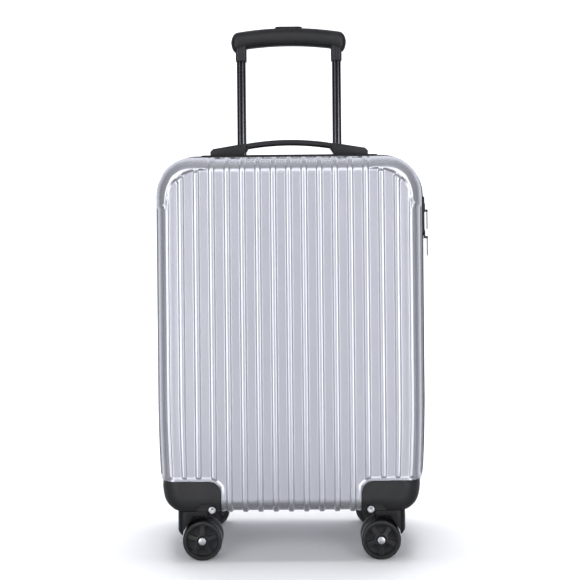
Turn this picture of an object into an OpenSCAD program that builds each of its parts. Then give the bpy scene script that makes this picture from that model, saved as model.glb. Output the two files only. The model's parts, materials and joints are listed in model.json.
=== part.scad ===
// Hard shell cabin suitcase on four twin-wheel casters, with a telescopic trolley handle.
// Origin: on the floor, under the middle of the case. +X is the lock side, -Y the front, +Z up.

/* [Case] */
// Half of the case's width at the seam, over the rib crests
case_half_w = 185; // [180:1:195]
// Half of the case's depth, over the rib crests
case_half_d = 112; // [108:1:118]
// Height of the case's lowest edge above the floor
case_bottom = 57; // [56:1:60]
// Height of the case's highest edge above the floor
case_top = 535; // [530:1:560]
// Radius of the case's corners, seen from the front
corner_r = 56; // [45:1:65]
// Radius of the case's lower corners, which the guards cover
low_corner_r = 46; // [40:1:50]
// Height above the floor where the side walls start to draw in
waist_z = 220; // [210:5:240]
// Radius of the side walls' curve below that height
waist_r = 2000; // [1800:50:2400]
// Radius of the edges between the faces and the walls
edge_r = 26; // [20:1:30]
// Lean of the side walls, in degrees
side_draft = 6.3; // [4:0.1:7]
// Lean of the top and bottom walls, in degrees
top_draft = 3.2; // [2:0.1:4]
// Thickness of the plastic shell
wall = 2.2; // [1.8:0.1:2.5]

/* [Ribs] */
// Height of a rib above the skin
rib_h = 2.3; // [1.5:0.1:2.5]
// Distance between ribs
rib_pitch = 20.1; // [19.5:0.1:21]
// Width of a rib
rib_w = 6; // [4:0.5:8]

/* [Casters] */
// Distance from the middle to a caster's swivel axis, sideways
caster_x = 127; // [124:1:130]
// Distance from the middle to a caster's swivel axis, front to back
caster_y = 80; // [78:1:82]
// Distance from the swivel axis to the axle
trail = 9.5; // [8:0.5:11]
// Radius of a wheel
wheel_r = 26; // [24:0.5:26]
// Width of one wheel of a pair
wheel_w = 14; // [12:0.5:14]

/* [Trolley handle] */
// Distance from the middle to a trolley tube
tube_x = 70; // [66:1:74]
// Distance from the seam to the tubes
tube_y = 84; // [82:1:86]
// Width of the innermost tube
tube_w = 13; // [12:0.5:14]
// Depth of the innermost tube
tube_d = 20; // [18:0.5:22]
// How far the handle stands pulled out above its lowest place
trolley_out = 150; // [150:1:160]
// Height of the middle of the grip when the handle is fully in
grip_low_z = 566; // [565:1:570]

/* [Carry handle] */
// Height of the top of the bow
bow_top_z = 560; // [558:1:562]
// Distance from the seam to the bow's middle
bow_y = 20; // [19:1:22]

/* [Hidden] */
$fn = 64;

silver = [0.74, 0.75, 0.78];
charcoal = [0.2, 0.2, 0.21];
black = [0.07, 0.07, 0.075];
steel = [0.78, 0.78, 0.8];
cloth = [0.3, 0.31, 0.34];

case_half_h = (case_top - case_bottom) / 2;
case_mid_z = (case_top + case_bottom) / 2;
inner = rib_h + wall;
far = 700;

// Casters
// Each row: side in X, side in Y
FL = [-1, -1];
FR = [1, -1];
RL = [-1, 1];
RR = [1, 1];
pocket_r = 34;
pocket_top = 70;
plate_bottom = 66.6;
hood_top = 66;
hood_half = 22.5;
hood_wall = 2.5;
hood_r = 12;
leg_t = 8;
wheel_gap = 1;
axle_r = 3;
pin_r = 5;
run = 0.05;
boss_r = 10;
boss_top = 88;
guard_top = 106;
guard_inner_x = 92;
guard_proud = 1.2;
guard_inner_y = 42;
arch_x = 109;
arch_z = 64;
arch_r = 15.5;
arch_floor_y = 103;
screw_x = 103.5;
screw_z = 69;
screw_r = 2;
screw_head_r = 4.5;

// Seam
rim_y = 4;
seam_gap = 0.3;
band_proud = 1.2;
teeth_proud = 2;
teeth_y = 2.2;

// Trolley
tube_wall = 1.2;
stage_step = 4;
bezel_top = 538;
bezel_y0 = 68;
bezel_y1 = 101;
collar_w = 15;
collar_d = 22;
grip_z = grip_low_z + trolley_out;
grip_arc_r = 480;
grip_h = 25;
grip_d = 26;
grip_half = 84.5;
collar_low = grip_z - 36;
tube_top = grip_z - 16;
inner_low = 250;
middle_low = 88;
middle_top = 528;
outer_low = 76;
outer_top = 524;
lock_z = inner_low + 6;
lock_pin_r = 2.5;
rod_r = 1.6;
plug_top = inner_low + 36;
spring_h = 20;
slide_down = trolley_out;
slide_up = 80;

// Lock
lock_y0 = -34;
lock_y1 = -7;
lock_z0 = 424;
lock_z1 = 477;
lock_out = 185;
lock_in = 170;
dial_r = 5.6;
dial_t = 4;
dial_step = 7;
dial_x = 180;
dial_z = 436;
lock_mid_y = (lock_y0 + lock_y1) / 2;
button_z = 466;
button_r = 4;

// Zip sliders
slider_x = case_half_w + teeth_proud + 0.3;
slider_low_z = 425;
slider_high_z = 462;

// ---------------------------------------------------------------- outlines

// A shape of half width w and depth d whose walls lean inwards by a, with rounded far edges
module leaning_half(w, d, r, a) {
    cx = w - (r + sin(a) * (d - r)) / cos(a);
    side = [cx + r * cos(a), d - r + r * sin(a)];
    polygon([[w, 0], side, [cx, d], [-cx, d], [-side[0], side[1]], [-w, 0]]);
    for (s = [-1, 1])
        translate([s * cx, d - r]) circle(r);
}

module leaning_2d(w, d, r, a) {
    leaning_half(w, d, r, a);
    mirror([0, 1]) leaning_half(w, d, r, a);
}

module rounded_2d(half_x, half_y, r) {
    square([2 * half_x, 2 * (half_y - r)], center = true);
    square([2 * (half_x - r), 2 * half_y], center = true);
    for (x = [-1, 1], y = [-1, 1])
        translate([x * (half_x - r), y * (half_y - r)]) circle(r);
}

function arc(centre, r, from, to, steps) =
    [for (i = [0:steps]) let (a = from + (to - from) * i / steps)
        centre + r * [cos(a), sin(a)]];

// Half of the case's outline seen from the front, grown by out, from the top to the bottom:
// the top corner, the side wall's long curve below the waist, and the smaller low corner
function front_half_outline(out) =
    let (top_centre = [case_half_w - corner_r, case_half_h - corner_r],
         waist_centre = [case_half_w - waist_r, waist_z - case_mid_z],
         low_z = low_corner_r - case_half_h,
         drop = low_z - waist_centre[1],
         low_x = waist_centre[0] + sqrt(pow(waist_r - low_corner_r, 2) - drop * drop),
         turn = asin(drop / (waist_r - low_corner_r)))
    concat(arc(top_centre, corner_r + out, 90, 0, 12),
           arc(waist_centre, waist_r + out, 0, turn, 5),
           arc([low_x, low_z], low_corner_r + out, turn - 9, -90, 8));

module front_2d(out) {
    right = front_half_outline(out);
    last = len(right) - 1;
    polygon(concat(right, [for (i = [0:last]) [-right[last - i][0], right[last - i][1]]]));
}

// A shape drawn in X and Z, extruded from y0 to y1
module along_y(y0, y1) {
    translate([0, y1, 0]) rotate([90, 0, 0]) linear_extrude(y1 - y0) children();
}

module rounded_bar(size_x, size_y, r, z0, z1) {
    translate([0, 0, z0]) linear_extrude(z1 - z0) rounded_2d(size_x / 2, size_y / 2, r);
}

// The whole case, drawn in by inset from the rib crests
module case_block(inset) {
    w = case_half_w - inset;
    d = case_half_d - inset;
    h = case_half_h - inset;
    r = edge_r - inset;
    intersection() {
        translate([0, 0, case_mid_z - h - 1])
            linear_extrude(2 * h + 2) leaning_2d(w, d, r, side_draft);
        translate([-w - 1, 0, case_mid_z])
            rotate([90, 0, 90]) linear_extrude(2 * w + 2)
                rotate(90) leaning_2d(h, d, r, top_draft);
        translate([0, 0, case_mid_z])
            along_y(-d - 1, d + 1) front_2d(-inset);
    }
}

module y_range(y0, y1) {
    translate([-far, y0, -far]) cube([2 * far, y1 - y0, 3 * far]);
}

// ---------------------------------------------------------------- shells

top_ribs = 5;
bottom_ribs = 4;
face_ribs = 8;
side_ribs = 4;

// Seen from above: ribs on the large faces and on the side walls
module plan_2d() {
    leaning_2d(case_half_w - rib_h, case_half_d - rib_h, edge_r - rib_h, side_draft);
    intersection() {
        leaning_2d(case_half_w, case_half_d, edge_r, side_draft);
        union() {
            for (i = [-face_ribs:face_ribs])
                translate([i * rib_pitch, 0]) square([rib_w, far], center = true);
            for (i = [1:side_ribs], s = [-1, 1])
                translate([0, s * i * rib_pitch]) square([far, rib_w], center = true);
        }
    }
}

// Seen from the front: the middle ribs go over the top and bottom, and the corners stay smooth
module outline_2d() {
    valley = rib_pitch - rib_w;
    difference() {
        front_2d(0);
        for (i = [-top_ribs:top_ribs - 1])
            translate([(i + 0.5) * rib_pitch - valley / 2, case_half_h - rib_h]) square([valley, 10]);
        for (i = [-bottom_ribs:bottom_ribs - 1])
            translate([(i + 0.5) * rib_pitch - valley / 2, -case_half_h - 10 + rib_h])
                square([valley, 10]);
    }
}

module caster_pocket(side, grow) {
    translate([side[0] * caster_x, side[1] * caster_y, case_bottom - 10])
        cylinder(r = pocket_r + grow, h = pocket_top + grow - case_bottom + 10);
}

module arch_2d(grow) {
    intersection() {
        translate([arch_x, arch_z]) circle(arch_r + grow);
        translate([0, plate_bottom]) square([far, far]);
    }
}

// Corner guards are drawn for the front right corner and mirrored to the others
module at_corner(side) {
    mirror([side[0] < 0 ? 1 : 0, 0, 0]) mirror([0, side[1] > 0 ? 1 : 0, 0]) children();
}

// A guard seen from the front, with its upper inner corner rounded
module guard_zone_2d(grow, low) {
    r = 16 + grow;
    centre = [guard_inner_x + 16, guard_top - 16];
    translate([guard_inner_x - grow, low]) square([far, centre[1] - low]);
    translate([centre[0], low]) square([far, guard_top + grow - low]);
    translate(centre) circle(r);
}

// Everything of a guard that goes through the shell
module guard_seat(side, grow) {
    at_corner(side) {
        along_y(-case_half_d - 5, -arch_floor_y + 2 + grow) arch_2d(1.8 + grow);
        translate([screw_x, -arch_floor_y + 9 + grow, screw_z])
            rotate([90, 0, 0]) cylinder(r = 6.5 + grow, h = 12);
    }
    translate([side[0] * caster_x, side[1] * caster_y, plate_bottom])
        cylinder(r = boss_r + grow, h = boss_top - plate_bottom + grow);
}

module ribbed_block() {
    intersection() {
        translate([0, 0, case_bottom - 1]) linear_extrude(2 * case_half_h + 2) plan_2d();
        translate([-case_half_w - 1, 0, case_mid_z])
            rotate([90, 0, 90]) linear_extrude(2 * case_half_w + 2)
                rotate(90) leaning_2d(case_half_h, case_half_d, edge_r, top_draft);
        translate([0, 0, case_mid_z]) along_y(-case_half_d - 1, case_half_d + 1) outline_2d();
    }
}

// One half of the case: dir is -1 for the front half and 1 for the back half
module half_shell(dir) {
    left = [-1, dir];
    right = [1, dir];
    difference() {
        intersection() {
            ribbed_block();
            y_range(dir < 0 ? -far : rim_y, dir < 0 ? -rim_y : far);
        }
        difference() {
            case_block(inner);
            caster_pocket(left, wall);
            caster_pocket(right, wall);
        }
        for (side = [left, right]) {
            caster_pocket(side, 0);
            guard_seat(side, 0.2);
            difference() {
                at_corner(side) along_y(-far, 0.3 - guard_inner_y) guard_zone_2d(0.3, 0);
                case_block(rib_h);
            }
        }
    }
}

module front_shell() {
    color(silver) difference() {
        half_shell(-1);
        lock_zone(0.2);
    }
}

module plate_zone(grow) {
    translate([0, bow_y, 0]) rounded_bar(250 + 2 * grow, 30 + 2 * grow, 12 + grow, case_top - 20, far);
}

module bezel_zone(grow) {
    translate([0, (bezel_y0 + bezel_y1) / 2, 0])
        rounded_bar(190 + 2 * grow, bezel_y1 - bezel_y0 + 2 * grow, 14 + grow, case_top - 26, far);
}

module back_shell() {
    color(silver) difference() {
        half_shell(1);
        difference() {
            union() {
                plate_zone(1);
                bezel_zone(3);
            }
            case_block(rib_h);
        }
        bezel_zone(0.2);
    }
}

// ---------------------------------------------------------------- inside of the halves

module band_ring(out, deep, y0, y1) {
    difference() {
        translate([0, 0, case_mid_z]) along_y(y0, y1) front_2d(out);
        translate([0, 0, case_mid_z]) along_y(y0 - 1, y1 + 1) front_2d(-deep);
    }
}

// Woven tape in the seam, with the zip's teeth on it and a hem sewn inside the rim
module zip_tape(dir) {
    color(black) mirror([0, dir < 0 ? 1 : 0, 0]) {
        band_ring(band_proud, inner + 1.5, seam_gap, rim_y);
        band_ring(teeth_proud, 1, seam_gap, teeth_y);
        intersection() {
            band_ring(-inner - 0.5, inner + 1.5, rim_y, rim_y + 6);
            case_block(inner);
        }
    }
}

module lock_zone(grow) {
    translate([lock_in - grow, lock_y0 - grow, lock_z0 - grow])
        cube([40, lock_y1 - lock_y0 + 2 * grow, lock_z1 - lock_z0 + 2 * grow]);
}

module back_zip_tape() {
    zip_tape(1);
}

module front_zip_tape() {
    color(black) difference() {
        zip_tape(-1);
        lock_zone(0.3);
    }
}

module lining_space(inset, y0, y1) {
    intersection() {
        case_block(inset);
        y_range(y0, y1);
    }
}

module back_lining() {
    color(cloth) difference() {
        lining_space(inner + 0.3, rim_y + 7, 67);
        lining_space(inner + 1.7, rim_y, 65.6);
        caster_pocket(RL, wall + 1.2);
        caster_pocket(RR, wall + 1.2);
    }
}

module front_lining() {
    color(cloth) difference() {
        lining_space(inner + 0.3, -far, -rim_y - 7);
        lining_space(inner + 1.7, -far, -rim_y);
        for (side = [FL, FR]) {
            caster_pocket(side, wall + 1.2);
            guard_seat(side, 1.5);
        }
        lock_zone(2.5);
    }
}

strap_y = 63.6;
strap_w = 25;
strap_t = 1.6;
buckle_half = [34, 19];

// Four strap arms that run from the buckle to the corners of the back half
module packing_straps() {
    color(black) for (x = [-1, 1], z = [-1, 1]) {
        start = [x * (buckle_half[0] + 2.8), z * 7];
        end = [x * 165, z * 150];
        run_len = norm(end - start);
        angle = atan2(end[1] - start[1], end[0] - start[0]);
        translate([start[0], strap_y, case_mid_z + start[1]])
            rotate([0, -angle, 0]) translate([0, -strap_t / 2, -strap_w / 2 * 0.5])
                cube([run_len, strap_t, strap_w * 0.5]);
    }
}

module strap_buckle() {
    color(charcoal) translate([0, 0, case_mid_z]) {
        difference() {
            along_y(strap_y - 4, strap_y + 1.6) rounded_2d(buckle_half[0] - 2.3, buckle_half[1], 6);
            for (x = [-1, 1])
                translate([x * 20, 0, 0]) along_y(strap_y - 5, strap_y - 2) rounded_2d(3, 12, 2);
        }
    }
}

// ---------------------------------------------------------------- top carry handle

module handle_plate() {
    color(black) difference() {
        intersection() {
            plate_zone(0);
            translate([-far, 0, 0]) cube([2 * far, far, case_top + 3.5]);
        }
        case_block(rib_h);
    }
}

end_low = case_top + 3.5;
cheek_y = 12;
slot_y = 7.7;
bow_half_d = 7.4;
handle_pin_x = 68;
handle_pin_r = 1.6;
handle_lift = 5;
handle_pin_z = end_low + 11.9;

// One end block: two cheeks and a closed outer end, open towards the bow
module handle_end() {
    difference() {
        translate([0, bow_y, 0]) along_y(-cheek_y, cheek_y)
            polygon([[-111, end_low], [-111, end_low + 5], [-107, end_low + 9], [-64, end_low + 16],
                     [-60, end_low + 15], [-63, end_low]]);
        translate([-104, bow_y - slot_y, end_low + 2]) cube([60, 2 * slot_y, 30]);
        translate([-handle_pin_x, bow_y + far, handle_pin_z])
            rotate([90, 0, 0]) cylinder(r = handle_pin_r, h = 2 * far);
    }
}

module handle_ends() {
    color(charcoal) {
        handle_end();
        mirror([1, 0, 0]) handle_end();
    }
}

module handle_pins() {
    color(steel) for (s = [-1, 1])
        translate([s * handle_pin_x, bow_y + cheek_y, handle_pin_z])
            rotate([90, 0, 0]) cylinder(r = handle_pin_r, h = 2 * cheek_y);
}

bow_t = 8;
bow_arc_r = 362;
bow_reach = 62;

module handle_tongue() {
    difference() {
        translate([0, bow_y, 0]) along_y(-bow_half_d, bow_half_d)
            polygon([[-103, end_low + 2.5], [-103, end_low + 8], [-64, end_low + 15.5],
                     [-58, end_low + 16.2], [-58, end_low + 8], [-62, end_low + 2.5]]);
        translate([-handle_pin_x, bow_y + far, handle_pin_z])
            rotate([90, 0, 0]) linear_extrude(2 * far)
                union() {
                    circle(handle_pin_r + 0.08);
                    translate([0, -handle_lift]) circle(handle_pin_r + 0.08);
                    translate([-handle_pin_r - 0.08, -handle_lift])
                        square([2 * handle_pin_r + 0.16, handle_lift]);
                }
    }
}

module carry_handle() {
    angle = asin(bow_reach / bow_arc_r);
    color(charcoal) {
        translate([0, bow_y, bow_top_z - bow_arc_r]) rotate([90, 0, 0])
            rotate([0, 0, 90 - angle]) rotate_extrude(angle = 2 * angle, $fn = 360)
                translate([bow_arc_r - bow_t / 2, 0]) rounded_2d(bow_t / 2, bow_half_d, 3.2);
        handle_tongue();
        mirror([1, 0, 0]) handle_tongue();
    }
}

// ---------------------------------------------------------------- trolley

module tube_pair(step, z0, z1) {
    for (s = [-1, 1])
        translate([s * tube_x, tube_y, 0]) difference() {
            rounded_bar(tube_w + step, tube_d + step, 4 + step / 2, z0, z1);
            rounded_bar(tube_w + step - 2 * tube_wall, tube_d + step - 2 * tube_wall,
                        4 + step / 2 - tube_wall, z0 - 1, z1 + 1);
        }
}

module trolley_outer_tubes() {
    color(steel) tube_pair(2 * stage_step, outer_low, outer_top);
}

// The outward wall of each middle tube is slotted for the locking pin
module trolley_middle_tubes() {
    color(steel) difference() {
        tube_pair(stage_step, middle_low, middle_top);
        for (s = [-1, 1])
            translate([s * (tube_x + tube_w / 2 + stage_step / 2 - 1), tube_y, 0])
                translate([-3, -lock_pin_r - 0.4, lock_z - slide_down - lock_pin_r - 1])
                    cube([6, 2 * lock_pin_r + 0.8, slide_down + slide_up + 2 * lock_pin_r + 2]);
    }
}

module trolley_inner_tubes() {
    color(black) difference() {
        tube_pair(0, inner_low, tube_top);
        for (s = [-1, 1])
            translate([s * (tube_x + tube_w / 2), tube_y, lock_z])
                rotate([0, 90, 0]) cylinder(r = lock_pin_r + 0.3, h = 6, center = true);
    }
}

// Plastic plug in the foot of each inner tube, with a bore for the locking pin and one for the rod
module lock_plugs() {
    color(charcoal) for (s = [-1, 1])
        translate([s * tube_x, tube_y, 0]) difference() {
            rounded_bar(tube_w - 2 * tube_wall, tube_d - 2 * tube_wall, 4 - tube_wall,
                        inner_low, plug_top);
            translate([s * 0.5, 0, lock_z]) rotate([0, s * 90, 0])
                cylinder(r = lock_pin_r + run, h = 20);
            translate([0, 0, lock_z]) cylinder(r = rod_r + 0.4, h = 60);
        }
}

module lock_pin(s) {
    color(steel) translate([s * (tube_x + 1.9), tube_y, lock_z])
        rotate([0, s * 90, 0]) cylinder(r = lock_pin_r, h = 6.2);
}

module lock_pin_left() {
    lock_pin(-1);
}

module lock_pin_right() {
    lock_pin(1);
}

base_size = [178, 32];

module trolley_base() {
    color(charcoal) intersection() {
        translate([0, tube_y + 0.5, 0]) rounded_bar(base_size[0], base_size[1], 10, 60, outer_low);
        case_block(inner + 0.1);
    }
}

module bezel_hole(w, d, z0, z1) {
    for (s = [-1, 1])
        translate([s * tube_x, tube_y, 0]) rounded_bar(w, d, 5, z0, z1);
}

// Tray in the top of the back half that the outer tubes hang from
module trolley_bezel() {
    sleeve_low = outer_top - 12;
    color(charcoal) difference() {
        union() {
            intersection() {
                bezel_zone(0);
                translate([-far, 0, sleeve_low]) cube([2 * far, far, bezel_top - sleeve_low]);
            }
            difference() {
                intersection() {
                    bezel_zone(2.8);
                    translate([-far, 0, 0]) cube([2 * far, far, bezel_top]);
                }
                case_block(rib_h);
            }
        }
        bezel_hole(tube_w + stage_step + 0.8, tube_d + stage_step + 0.8, sleeve_low - 1, far);
        bezel_hole(tube_w + 2 * stage_step, tube_d + 2 * stage_step, sleeve_low - 1, outer_top);
        translate([0, tube_y, 0]) rounded_bar(110, 22, 8, bezel_top - 5, far);
        translate([0, tube_y, 0]) rounded_bar(96, 26, 8, sleeve_low - 1, bezel_top - 8);
    }
}

// The grip is an arched bar: a band of the given height and depth round the arch's centre
module grip_arc(height, depth, r, lift, half_angle) {
    translate([0, tube_y, grip_z - grip_arc_r]) rotate([90, 0, 0])
        rotate([0, 0, 90 - half_angle]) rotate_extrude(angle = 2 * half_angle, $fn = 360)
            translate([grip_arc_r + lift, 0]) rounded_2d(height / 2, depth / 2, r);
}

cover_half = 44;
cover_t = 3.2;
button_half = 20;

module grip_cover_zone(grow) {
    cut = cover_t + grow;
    translate([0, tube_y, grip_z - grip_arc_r]) rotate([90, 0, 0]) difference() {
        cylinder(r = grip_arc_r + grip_h / 2 + 10, h = 2 * far, center = true, $fn = 360);
        cylinder(r = grip_arc_r + grip_h / 2 - cut, h = 3 * far, center = true, $fn = 360);
        for (s = [-1, 1])
            translate([s * (far + cover_half + grow), 0, 0]) cube([2 * far, 4 * far, 3 * far], center = true);
        translate([0, -2 * far, 0]) cube([4 * far, 4 * far, 3 * far], center = true);
    }
}

module grip_bar() {
    intersection() {
        grip_arc(grip_h, grip_d, 9, 0, 11);
        translate([0, 0, grip_z - 4]) along_y(0, 2 * tube_y) rounded_2d(grip_half, grip_h / 2 + 5, 9);
    }
}

module grip_body() {
    color(charcoal) difference() {
        union() {
            grip_bar();
            for (s = [-1, 1])
                translate([s * tube_x, tube_y, 0])
                    rounded_bar(collar_w, collar_d, 5, collar_low, tube_top + 4);
        }
        grip_cover_zone(0.3);
        grip_arc(18, 18, 5, 0, 9.3);
        button_slab(0.4, far * 2);
        for (s = [-1, 1])
            translate([s * tube_x, tube_y, 0]) {
                rounded_bar(tube_w, tube_d, 4, collar_low - 1, tube_top);
                cylinder(r = rod_r + 0.9, h = grip_z);
            }
    }
}

module button_slab(grow, z1) {
    translate([0, tube_y, 0])
        rounded_bar(2 * button_half + 2 * grow, 14 + 2 * grow, 5 + grow, grip_z + 0.8, z1);
}

module grip_cover() {
    color(charcoal) difference() {
        intersection() {
            grip_bar();
            grip_cover_zone(0);
        }
        grip_arc(18, 18, 5, 0, 9.3);
        button_slab(0.4, far * 2);
    }
}

module release_button() {
    proud = 1.5;
    color(black) intersection() {
        button_slab(0, far * 2);
        translate([0, tube_y, grip_z - grip_arc_r]) rotate([90, 0, 0])
            cylinder(r = grip_arc_r + grip_h / 2 + proud, h = 40, center = true, $fn = 360);
    }
}

// Cross bar under the button, with a rod down each inner tube
module push_rods() {
    bar_z = grip_z - 2.2;
    color(steel) {
        translate([-tube_x - 3, tube_y - 3, bar_z]) cube([2 * tube_x + 6, 6, 3]);
        for (s = [-1, 1])
            translate([s * tube_x, tube_y, 0]) {
                translate([0, 0, lock_z + 7.5]) cylinder(r = rod_r, h = bar_z - lock_z - 7);
                translate([0, 0, plug_top + spring_h + 0.4]) cylinder(r = 4.2, h = 2);
            }
    }
}

// Coil spring round each rod: a wire of eight sides swept along a helix
spring_turns = 6;
spring_steps = 14;
spring_wire = 0.5;
spring_r = 3.4;

function spring_ring(k) =
    let (n = spring_turns * spring_steps, a = k * 360 / spring_steps,
         z = spring_wire + k * (spring_h - 2 * spring_wire) / n)
    [for (j = [0:7]) let (b = j * 45, q = spring_r + spring_wire * cos(b))
        [q * cos(a), q * sin(a), z + spring_wire * sin(b)]];

module coil_spring() {
    n = spring_turns * spring_steps;
    points = [for (k = [0:n]) each spring_ring(k)];
    sides = [for (k = [0:n - 1], j = [0:7]) let (i = (j + 1) % 8)
        [8 * k + j, 8 * k + 8 + j, 8 * k + 8 + i, 8 * k + i]];
    ends = [[for (j = [0:7]) j], [for (j = [7:-1:0]) 8 * n + j]];
    polyhedron(points, concat(sides, ends));
}

module button_springs() {
    color(steel) for (s = [-1, 1])
        translate([s * tube_x, tube_y, plug_top + 0.2]) coil_spring();
}

// ---------------------------------------------------------------- lock and zip sliders

module lock_body() {
    color(black) {
        difference() {
            intersection() {
                translate([lock_in, lock_y0, lock_z0])
                    cube([lock_out - lock_in, lock_y1 - lock_y0, lock_z1 - lock_z0]);
                translate([0, lock_mid_y, (lock_z0 + lock_z1) / 2]) rotate([90, 0, 90])
                    linear_extrude(far)
                        rounded_2d((lock_y1 - lock_y0) / 2, (lock_z1 - lock_z0) / 2, 5);
            }
            for (i = [0:2])
                translate([dial_x, lock_mid_y, dial_z + (i - 0.5) * dial_step + 0.5 * dial_step
                           - dial_t / 2 - 0.4])
                    cylinder(r = dial_r + 0.6, h = dial_t + 0.8);
            translate([lock_in + 3, lock_mid_y, button_z])
                rotate([0, 90, 0]) cylinder(r = button_r + run, h = 40);
            for (z = [slider_low_z + 6, slider_high_z + 6])
                translate([lock_in + 6, lock_y1 - 4, z]) cube([4, 6, 6]);
        }
        translate([dial_x, lock_mid_y, dial_z - 4]) cylinder(r = 1.5, h = 2 * dial_step + 8);
    }
}

module lock_dial(i) {
    color(steel) translate([dial_x, lock_mid_y, dial_z + i * dial_step - dial_t / 2])
        difference() {
            cylinder(r = dial_r, h = dial_t);
            translate([0, 0, -1]) cylinder(r = 1.5 + run, h = dial_t + 2);
            for (k = [0:9])
                rotate(k * 36 + 18) translate([dial_r + 0.5, 0, -1])
                    cylinder(r = 0.9, h = dial_t + 2);
        }
}

module lock_dial_low() {
    lock_dial(0);
}

module lock_dial_mid() {
    lock_dial(1);
}

module lock_dial_high() {
    lock_dial(2);
}

module lock_button() {
    color(steel) translate([lock_in + 7, lock_mid_y, button_z])
        rotate([0, 90, 0]) cylinder(r = button_r, h = lock_out - lock_in - 6.3);
}

ear_y = 2.9;
ear_t = 1.3;
pull_pin_r = 0.8;
pull_x = slider_x + 4;
pull_drop = 4.2;

// The slider's top plate rides outside the teeth, with two ears that hold the pull
module zip_slider(z) {
    color(steel) difference() {
        union() {
            translate([slider_x, -4.2, z - 6]) cube([2, 8.4, 12]);
            for (s = [-1, 1])
                translate([slider_x + 1, s * (ear_y + ear_t / 2), z - pull_drop]) {
                    translate([0, -ear_t / 2, -1.8]) cube([3, ear_t, 3.6]);
                    translate([3, ear_t / 2, 0]) rotate([90, 0, 0]) cylinder(r = 1.8, h = ear_t);
                }
        }
        translate([pull_x, 10, z - pull_drop])
            rotate([90, 0, 0]) cylinder(r = pull_pin_r + run, h = 20);
    }
}

module zip_pull(z) {
    color(steel) translate([pull_x, 0, z - pull_drop]) {
        rotate([90, 0, 0]) cylinder(r = pull_pin_r, h = 2 * (ear_y + ear_t), center = true);
        rotate([90, 0, 0]) cylinder(r = 1.3, h = 2 * ear_y - 0.6, center = true);
        difference() {
            translate([0.1, 0, -13]) rotate([0, 90, 0]) linear_extrude(1.2) rounded_2d(13, 2.6, 2);
            translate([-1, 0, -21]) rotate([0, 90, 0]) cylinder(r = 1.2, h = 4);
        }
    }
}

module zip_slider_low() {
    zip_slider(slider_low_z);
}

module zip_slider_high() {
    zip_slider(slider_high_z);
}

module zip_pull_low() {
    zip_pull(slider_low_z);
}

module zip_pull_high() {
    zip_pull(slider_high_z);
}

// ---------------------------------------------------------------- corner guards and casters

module guard(side) {
    color(charcoal) at_corner(side) difference() {
        union() {
            difference() {
                intersection() {
                    case_block(-guard_proud);
                    along_y(-far, -guard_inner_y) guard_zone_2d(0, plate_bottom);
                }
                case_block(rib_h);
                along_y(-far, far) arch_2d(0);
            }
            difference() {
                along_y(-case_half_d + 1, -arch_floor_y + 2) arch_2d(1.6);
                along_y(-case_half_d, -arch_floor_y) arch_2d(0);
            }
            translate([caster_x, -caster_y, plate_bottom])
                cylinder(r = pocket_r - 0.3, h = pocket_top - plate_bottom);
            translate([caster_x, -caster_y, plate_bottom])
                cylinder(r = boss_r, h = boss_top - plate_bottom);
            difference() {
                translate([screw_x, -arch_floor_y + 9, screw_z])
                    rotate([90, 0, 0]) cylinder(r = 6.4, h = 12);
                translate([screw_x - 20, -arch_floor_y + 1, plate_bottom - 20])
                    cube([40, 40, 20]);
            }
        }
        translate([caster_x, -caster_y, 0]) cylinder(r = pin_r + run, h = boss_top - 3);
        translate([screw_x, -arch_floor_y + 7, screw_z])
            rotate([90, 0, 0]) cylinder(r = screw_r, h = 40);
        translate([screw_x, -arch_floor_y - 3, screw_z])
            rotate([90, 0, 0]) cylinder(r = screw_head_r + 0.3, h = 40);
    }
}

module guard_screw() {
    difference() {
        union() {
            translate([screw_x, -arch_floor_y + 6, screw_z])
                rotate([90, 0, 0]) cylinder(r = screw_r, h = 10);
            translate([screw_x, -arch_floor_y - 3, screw_z])
                rotate([90, 0, 0]) cylinder(r = screw_head_r, h = 2.4);
        }
        for (a = [45, 135])
            translate([screw_x, -arch_floor_y - 6, screw_z]) rotate([0, a, 0])
                cube([5.5, 2.4, 1], center = true);
    }
}

module front_screws() {
    color(steel) {
        at_corner(FL) guard_screw();
        at_corner(FR) guard_screw();
    }
}

module back_screws() {
    color(steel) {
        at_corner(RL) guard_screw();
        at_corner(RR) guard_screw();
    }
}

// Casters are drawn with the swivel axis at the origin and the wheels trailing towards -X
module at_caster(side) {
    translate([side[0] * caster_x, side[1] * caster_y, 0])
        mirror([side[0] < 0 ? 1 : 0, 0, 0]) children();
}

module hood_block(inset, z0, z1) {
    rounded_bar(2 * (hood_half - inset), 2 * (hood_half - inset), hood_r - inset, z0, z1);
}

leg_boss_r = 8.5;

module fork(side) {
    skirt_low = 35;
    color(charcoal) at_caster(side) difference() {
        union() {
            difference() {
                hood_block(0, skirt_low, hood_top);
                hood_block(hood_wall, skirt_low - 1, hood_top - 4);
                along_y(-50, 50)
                    polygon([[1.5, 60], [15, 40], [16, 34], [-60, 34], [-60, 60]]);
                along_y(-50, 50) polygon([[16, 34], [23, 41], [30, 41], [30, 34]]);
            }
            along_y(-leg_t / 2, leg_t / 2) {
                translate([-trail, wheel_r]) circle(leg_boss_r);
                polygon([[-trail - 8, wheel_r + 3], [-trail + 8, wheel_r - 3], [14, hood_top - 4],
                         [-12, hood_top - 4]]);
            }
            translate([0, 0, 54]) cylinder(r = 8, h = hood_top - 54);
        }
        translate([-trail, 50, wheel_r]) rotate([90, 0, 0]) cylinder(r = axle_r, h = 100);
        translate([0, 0, 56]) cylinder(r = pin_r, h = 20);
    }
}

module swivel_pin(side) {
    color(steel) at_caster(side) translate([0, 0, 56]) cylinder(r = pin_r, h = boss_top - 4 - 56);
}

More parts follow.
